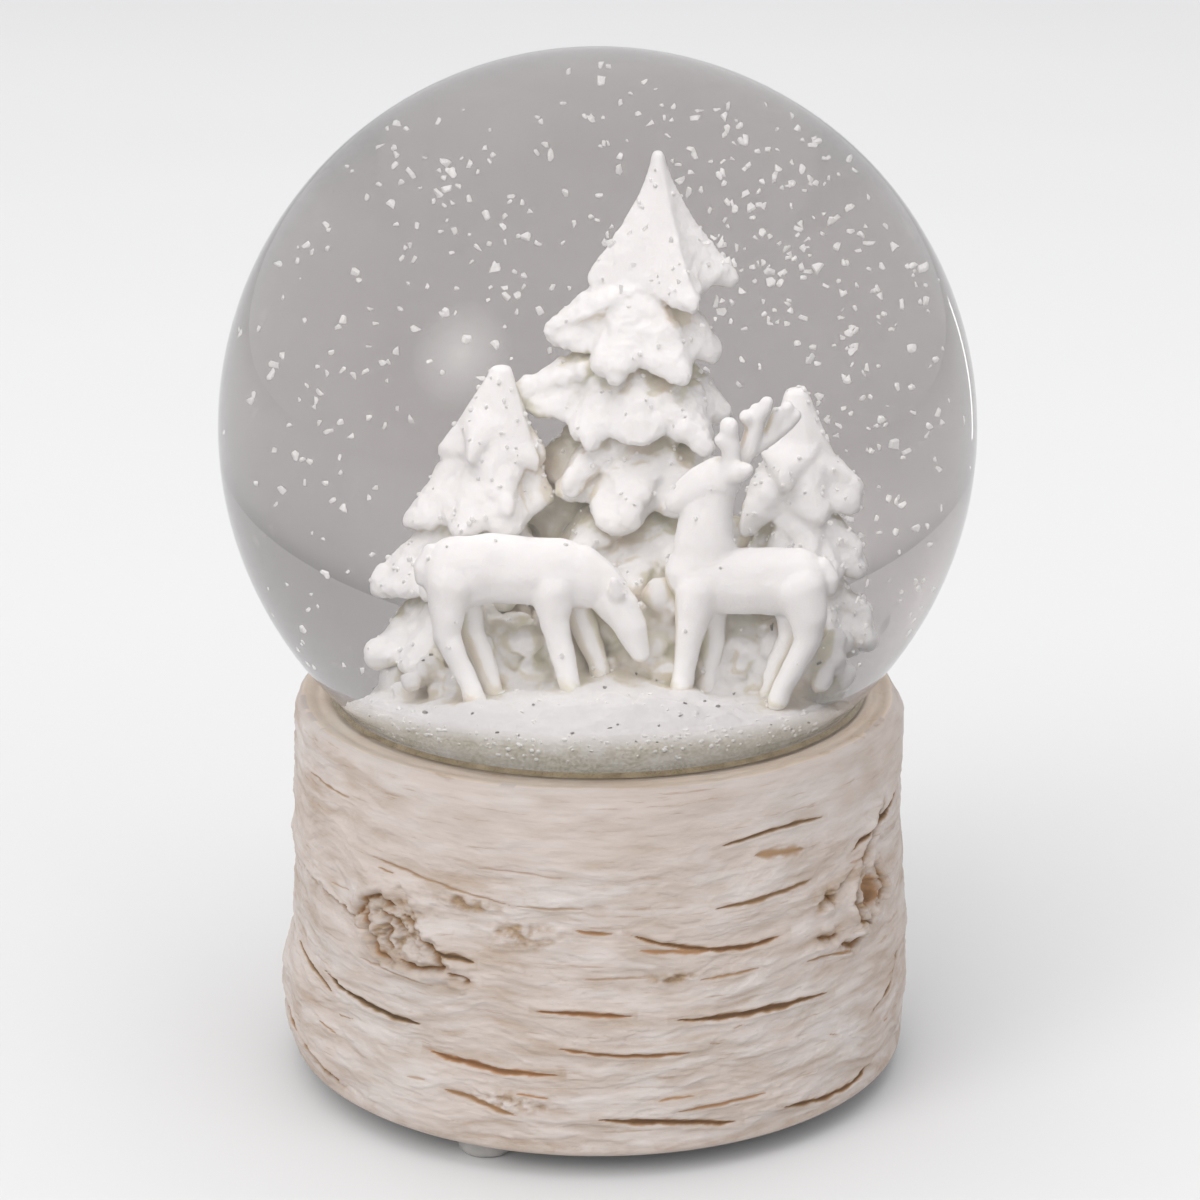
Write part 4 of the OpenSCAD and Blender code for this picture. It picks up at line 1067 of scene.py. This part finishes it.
STAG = [
    ([(20.4, -9, 74.5, 3.6), (17.2, -9, 74.8, 3.4), (13.8, -9, 74.8, 3.4), (11.2, -9, 75.3, 3.6),
      (10.2, -9, 75.8, 3.3)], 0.85),
    ([(11.0, -9, 76.8, 3.4), (11.0, -9, 79.6, 3.0), (11.2, -9, 82.2, 2.7), (11.8, -9, 84.4, 2.3)], 0.8),
    ([(12.4, -9, 85.6, 2.3), (11.0, -9, 84.9, 2.15), (9.4, -9, 84.0, 1.7), (8.2, -9, 83.3, 1.3)], 0.9),
    ([(13.2, -10.0, 86.0, 0.9), (14.6, -11.0, 86.8, 1.0), (15.7, -11.6, 87.2, 0.5)], 1.0),
    ([(13.4, -8.0, 86.4, 0.9), (14.6, -7.0, 87.2, 0.9), (15.4, -6.4, 87.6, 0.5)], 1.0),
    ([(13.6, -10.0, 86.8, 1.0), (13.9, -10.4, 89.4, 0.9), (13.6, -10.6, 91.6, 0.9)], 1.0),
    ([(13.9, -10.4, 89.0, 0.8), (12.8, -10.8, 90.2, 0.65)], 1.0),
    ([(14.2, -8.6, 87.0, 1.0), (15.6, -8.8, 88.8, 0.95), (16.3, -9.0, 91.2, 0.85), (16.5, -9.0, 92.8, 0.8)],
     1.0),
    ([(16.3, -9.0, 91.6, 0.75), (17.3, -9.4, 93.2, 0.75), (17.6, -9.4, 93.9, 0.65)], 1.0),
    ([(16.2, -9.0, 91.0, 0.7), (15.4, -9.6, 92.4, 0.7)], 1.0),
    ([(15.2, -8.4, 88.4, 0.95), (17.6, -7.8, 89.8, 0.85), (19.6, -7.4, 91.3, 0.8), (20.4, -7.4, 92.0, 0.7)],
     1.0),
    ([(17.8, -7.8, 90.0, 0.75), (18.4, -8.0, 91.8, 0.7), (18.5, -8.0, 92.4, 0.6)], 1.0),
    ([(19.4, -7.4, 91.2, 0.7), (19.6, -7.8, 92.9, 0.65)], 1.0),
    ([(21.0, -10.1, 74.0, 2.7), (22.0, -10.4, 71.0, 2.0), (22.0, -10.4, 68.6, 1.45),
      (20.8, -10.4, 66.2, 1.2), (19.4, -10.4, 63.6, 1.1), (18.9, -10.4, 61.8, 1.2)], 1.0),
    ([(19.6, -7.9, 74.2, 2.5), (20.0, -7.7, 71, 1.8), (19.8, -7.7, 68.6, 1.3), (18.4, -7.7, 66, 1.1),
      (17.4, -7.7, 62.4, 1.05)], 1.0),
    ([(10.4, -10.0, 74.2, 2.5), (9.7, -10.3, 71.2, 1.7), (9.3, -10.3, 68.4, 1.3), (8.9, -10.3, 65.6, 1.1),
      (8.4, -10.3, 62.4, 1.15)], 1.0),
    ([(11.6, -8.0, 74.2, 2.2), (11.6, -7.8, 71, 1.5), (11.6, -7.8, 68, 1.2), (11.2, -7.8, 65, 1.05),
      (10.8, -7.8, 62.2, 1.05)], 1.0),
    ([(23.2, -9, 76.2, 1.0), (24.1, -9, 74.8, 0.85), (24.2, -9, 73.6, 0.55)], 1.0),
]


def make_deer(resin):
    """The doe and the stag, each as one casting."""
    out = []
    for name, limbs, node in (("deer_doe", DOE, "doe"), ("deer_stag", STAG, "stag")):
        obj = fuse(name, [shell for points, wide in limbs for shell in limb(points, wide)], 0.2, 9)
        at, normal = points_of(obj)
        move_points(obj, at + normal * (0.1 + 0.12 * fbm(at / 2.2, 2, 61))[:, None])
        obj.data.materials.append(resin)
        out.append((obj, node))
    return out


def flake(centre, size, gen, flat=None):
    """One torn scrap of plastic: an uneven polygon, slightly curled."""
    n = int(gen.integers(5, 8))
    a = np.sort(gen.uniform(0, 2 * math.pi, n))
    r = size * gen.uniform(0.6, 1.0, n)
    ring = np.stack([r * np.cos(a) * gen.uniform(0.9, 1.4), r * np.sin(a), np.zeros(n)], axis=1)
    ring[:, 2] += 0.25 * size * (ring[:, 0] / size) ** 2
    thick = np.array([0, 0, 0.3 * size])
    verts = np.concatenate([ring - thick, ring * [0.8, 0.8, 1] + thick])
    up = gen.normal(size=3) if flat is None else np.asarray(flat) + 0.25 * gen.normal(size=3)
    up = up / np.linalg.norm(up)
    side = np.cross(up, gen.normal(size=3))
    side = side / np.linalg.norm(side)
    verts = verts @ np.stack([side, np.cross(up, side), up]) + np.asarray(centre)
    faces = [tuple(range(n))[::-1], tuple(range(n, 2 * n))]
    faces += [(k, (k + 1) % n, n + (k + 1) % n, n + k) for k in range(n)]
    return verts, faces


def make_flakes(castings, mound):
    """Flakes adrift, thicker on the right, with grains on the castings and scraps on the snow."""
    gen = np.random.default_rng(77)
    verts, faces, kinds = [], [], []
    start = 0

    def add(made, kind):
        nonlocal start
        v, f = made
        verts.append(v)
        faces.extend([tuple(int(c) + start for c in face) for face in f])
        kinds.extend([kind] * len(f))
        start += len(v)

    placed = 0
    while placed < ADRIFT:
        p = gen.uniform(-46, 46, 3)
        crowd = 0.2 + 0.8 * math.exp(-(((p[0] - 17) / 16) ** 2) - ((p[2] - 14) / 17) ** 2)
        crowd += 0.35 * math.exp(-(((p[0] + 16) / 12) ** 2) - ((p[2] - 10) / 12) ** 2)
        out = math.hypot(p[0], p[1])
        z = p[2] + GLOBE_Z
        if np.linalg.norm(p) > 44 or gen.uniform() > crowd:
            continue
        in_forest = z < 62 or out < 22 and z < 96 or out < 11 and z < 118
        before_forest = p[1] < -8 and abs(p[0]) < 27 and z < 113
        by_far_glass = p[1] > 2 and np.linalg.norm(p) > 37
        if in_forest or before_forest or by_far_glass:
            continue
        add(flake((p[0], p[1], z), 0.32 + 0.34 * gen.uniform() ** 1.5, gen), 0)
        placed += 1
    for obj, node in castings:
        at, normal = points_of(obj)
        upward = np.flatnonzero(normal[:, 2] > -0.2)
        for k in gen.choice(upward, ON_TREE if "tree" in node else ON_DEER, replace=False):
            r = gen.uniform(0.13, 0.27)
            add(ball(at[k] + 0.3 * r * normal[k], r * gen.uniform(0.7, 1.3, 3), 4, 6), 0)
    at, normal = points_of(mound)
    open_snow = np.flatnonzero((normal[:, 2] > 0.35) & (at[:, 1] < 4) & (at[:, 2] > 56.5))
    for k in gen.choice(open_snow, ON_SNOW, replace=False):
        scrap = flake(at[k] + 0.05 * normal[k], 0.2 + 0.26 * gen.uniform() ** 2, gen, normal[k])
        add(scrap, 1 if gen.uniform() < 0.27 else 0)
    front = (at[:, 1] < -12) & (normal[:, 1] < -0.1)
    edge_snow = np.flatnonzero(front & (at[:, 2] > 55.5) & (at[:, 2] < 59.5))
    for k in gen.choice(edge_snow, ON_EDGE, replace=False):
        r = gen.uniform(0.14, 0.3)
        add(ball(at[k] + 0.4 * r * normal[k], r * gen.uniform(0.7, 1.3, 3), 4, 6), 0)
    obj = new_mesh("drifting_flakes", np.concatenate(verts), faces, smooth=False)
    white = plain("flake_white_painted_glow", (0.98, 0.98, 0.98), (0.93, 0.93, 0.92), 0.45, scale=3000)
    shader = white.node_tree.nodes["Principled BSDF"]
    # the emission is a painted glow on the white flakes and grains, which are no lamp
    put(shader, {"Subsurface Weight": 0.9, "Subsurface Radius": (1.0, 1.0, 1.0), "Subsurface Scale": 0.002,
                 "Emission Color": (1.0, 1.0, 1.0, 1), "Emission Strength": 0.2})
    obj.data.materials.append(white)
    obj.data.materials.append(plain("flake_grey", (0.40, 0.39, 0.37), (0.26, 0.25, 0.24), 0.4, scale=3000))
    obj.data.polygons.foreach_set("material_index", kinds)
    return obj


# ------------------------------------------------------------------ put the object together

bark = make_bark()
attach(bark, ROOT)
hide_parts("bark_base")

glass = make_glass()
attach(glass, ROOT)
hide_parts("glass_globe")

liquid = make_liquid()
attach(liquid, ROOT)
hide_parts("water_fill")

resin = resin_material()
mound = make_ground()
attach(mound, ROOT)
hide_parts("snow_ground")

castings = make_trees(resin) + make_deer(resin)
# painted shade for the crevices of the snow and the castings
paint_crevice_shade([mound] + [piece for piece, _ in castings])
for piece, node in castings:
    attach(piece, ROOT)
    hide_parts(node)

flakes = make_flakes(castings, mound)
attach(flakes, ROOT)
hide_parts("snow_flakes")

steel = plain("bright_steel", (0.66, 0.66, 0.67), (0.46, 0.46, 0.48), 0.26, 1.0, 700, 0.00001, (1, 1, 6))
blued = plain("spring_steel", (0.20, 0.23, 0.30), (0.10, 0.12, 0.17), 0.3, 1.0, 500, 0.00001, (1, 1, 8))
brass = plain("yellow_brass", (0.83, 0.62, 0.30), (0.60, 0.42, 0.19), 0.28, 1.0, 600, 0.00001)
plated = plain("plated_casting", (0.62, 0.61, 0.58), (0.42, 0.41, 0.39), 0.42, 1.0, 500, 0.00004)
acetal = plain("white_acetal", (0.86, 0.85, 0.80), (0.74, 0.73, 0.68), 0.4, 0.0, 700, 0.00002)
cover = plain("moulded_cover", (0.045, 0.045, 0.047), (0.022, 0.022, 0.024), 0.55, 0.0, 260, 0.00012,
              grain=3200)
glue = rubber_material("seat_glue", (0.27, 0.215, 0.135), (0.17, 0.13, 0.075), 0.1, 0.3)
foot = rubber_material("clear_bumper", (0.42, 0.40, 0.385), (0.33, 0.32, 0.31), 0.12, 0.35)
plug = rubber_material("plug_rubber", (0.70, 0.69, 0.64), (0.58, 0.57, 0.52), 0.0, 0.6)

FINISH = {
    "rubber_stopper": plug, "seat_adhesive": glue, "bottom_cover": cover, "cover_screws": steel,
    "front_foot": foot, "right_foot": foot, "rear_foot": foot, "movement_plate": plated,
    "movement_screws": steel, "click_spring": blued, "cylinder_bearings": plated, "comb_bed": plated,
    "tune_comb": steel, "comb_screws": steel, "governor_frame": plated, "winding_key": plated,
    "winding_shaft": steel, "spring_barrel": brass, "barrel_cap": brass, "mainspring": blued,
    "cylinder_shaft": steel, "drive_pinion": brass, "tune_cylinder": brass, "tune_pins": steel,
    "cylinder_gear": brass, "governor_arbor": steel, "governor_pinion": brass, "worm_wheel": acetal,
    "fly_shaft": steel, "fly_worm": acetal, "fly_paddles": acetal,
}
for node, finish in FINISH.items():
    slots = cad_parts[node].material_slots
    if not slots:
        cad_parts[node].data.materials.append(finish)
    for slot in slots:
        slot.material = finish

# ------------------------------------------------------------------ stage, light and camera


def make_floor():
    """The plain pale floor."""
    mat, tree, shader = nodes_of("paper_floor")
    tone = noise_node(tree, 3, 2.0)
    pale = ramp(tree, tone, (0.3, (0.66, 0.66, 0.66)), (0.7, (0.675, 0.675, 0.675)))
    link(tree, pale, shader.inputs["Base Color"])
    put(shader, {"Roughness": 0.9, "Specular IOR Level": 0.1})
    half = 6.0
    mesh = bpy.data.meshes.new("floor")
    corners = [(-half, -half, 0), (half, -half, 0), (half, half, 0), (-half, half, 0)]
    mesh.from_pydata(corners, [], [(0, 1, 2, 3)])
    obj = bpy.data.objects.new("floor", mesh)
    obj.data.materials.append(mat)
    bpy.context.scene.collection.objects.link(obj)


LAMPS_AIM = (0, 0, 0.07)


def aim(obj, target):
    """Points an object's -Z at target."""
    way = Vector(target) - obj.location
    obj.rotation_euler = way.to_track_quat("-Z", "Y").to_euler()


def lamp(name, at, size, power, colour=(1, 1, 1), height=None, seen=False):
    """A soft lamp aimed at the object, which the glass mirrors only if it is seen."""
    data = bpy.data.lights.new(name, "AREA")
    data.shape = "RECTANGLE"
    data.size = size
    data.size_y = height or size
    data.energy = power
    data.color = colour
    obj = bpy.data.objects.new(name, data)
    obj.location = at
    bpy.context.scene.collection.objects.link(obj)
    aim(obj, LAMPS_AIM)
    obj.visible_transmission = obj.visible_glossy = seen
    return obj


make_floor()
lamp("key", (-1.1, -1.5, 1.25), 1.8, 22.0, (1.0, 0.99, 0.975))
lamp("fill", (1.7, -1.5, 0.9), 1.8, 11.0, (0.98, 0.985, 1.0))
lamp("top", (0.0, 0.2, 2.0), 2.4, 19.0)

# a thin strip low behind the globe, which only its right edge mirrors
strip = lamp("strip", (0.21, 0.32, 0.04), 0.014, 0.006, height=0.09, seen=True)
strip.visible_camera = strip.visible_transmission = strip.visible_diffuse = False

# three soft lamps for the castings alone, as the water scatters light back on to them
inside = bpy.data.collections.new("inside_the_globe")
for piece in [mound, flakes] + [piece for piece, _ in castings]:
    inside.objects.link(piece)
for side, power in ((-1, 11.0), (1, 8.5)):
    glow = lamp(f"inner_{'left' if side < 0 else 'right'}", (0.8 * side, -1.6, 0.42), 1.4, power)
    glow.light_linking.receiver_collection = inside
lamp("inner_top", (-0.2, -0.6, 1.6), 1.4, 27.0).light_linking.receiver_collection = inside


def make_sky():
    """An even grey studio with one soft window to the front and left."""
    world = bpy.data.worlds.new("studio")
    bpy.context.scene.world = world
    world.use_nodes = True
    tree = world.node_tree
    coord = tree.nodes.new("ShaderNodeTexCoord")
    window = tree.nodes.new("ShaderNodeMapping")
    window.vector_type = "POINT"
    narrow = 2.6  # the larger, the smaller the window
    towards = (-0.634, -0.585, 0.506)
    put(window, {"Scale": (narrow,) * 3, "Location": tuple(-narrow * c for c in towards)})
    glow = tree.nodes.new("ShaderNodeTexGradient")
    glow.gradient_type = "SPHERICAL"
    link(tree, coord.outputs["Generated"], window.inputs["Vector"])
    link(tree, window.outputs["Vector"], glow.inputs["Vector"])
    stops = (0.0, (0.76, 0.76, 0.775)), (0.3, (0.9, 0.9, 0.91)), (1.0, (5.5, 5.45, 5.4))
    tone = ramp(tree, glow.outputs["Fac"], *stops)
    link(tree, tone, tree.nodes["Background"].inputs["Color"])
    tree.nodes["Background"].inputs["Strength"].default_value = 1.0


make_sky()

camera_data = bpy.data.cameras.new("camera")
camera = bpy.data.objects.new("camera", camera_data)
bpy.context.scene.collection.objects.link(camera)
tilt, reach, look_at = math.radians(17.49), 0.45, 0.0648  # angle down, distance and height looked at
camera.location = (0, -reach * math.cos(tilt), look_at + reach * math.sin(tilt))
aim(camera, (0, 0, look_at))
camera_data.lens = 100.3
camera_data.sensor_width = 36.0
camera_data.shift_x = 0.002
camera_data.clip_start = 0.01
bpy.context.scene.camera = camera
bpy.context.scene.view_settings.view_transform = "Standard"
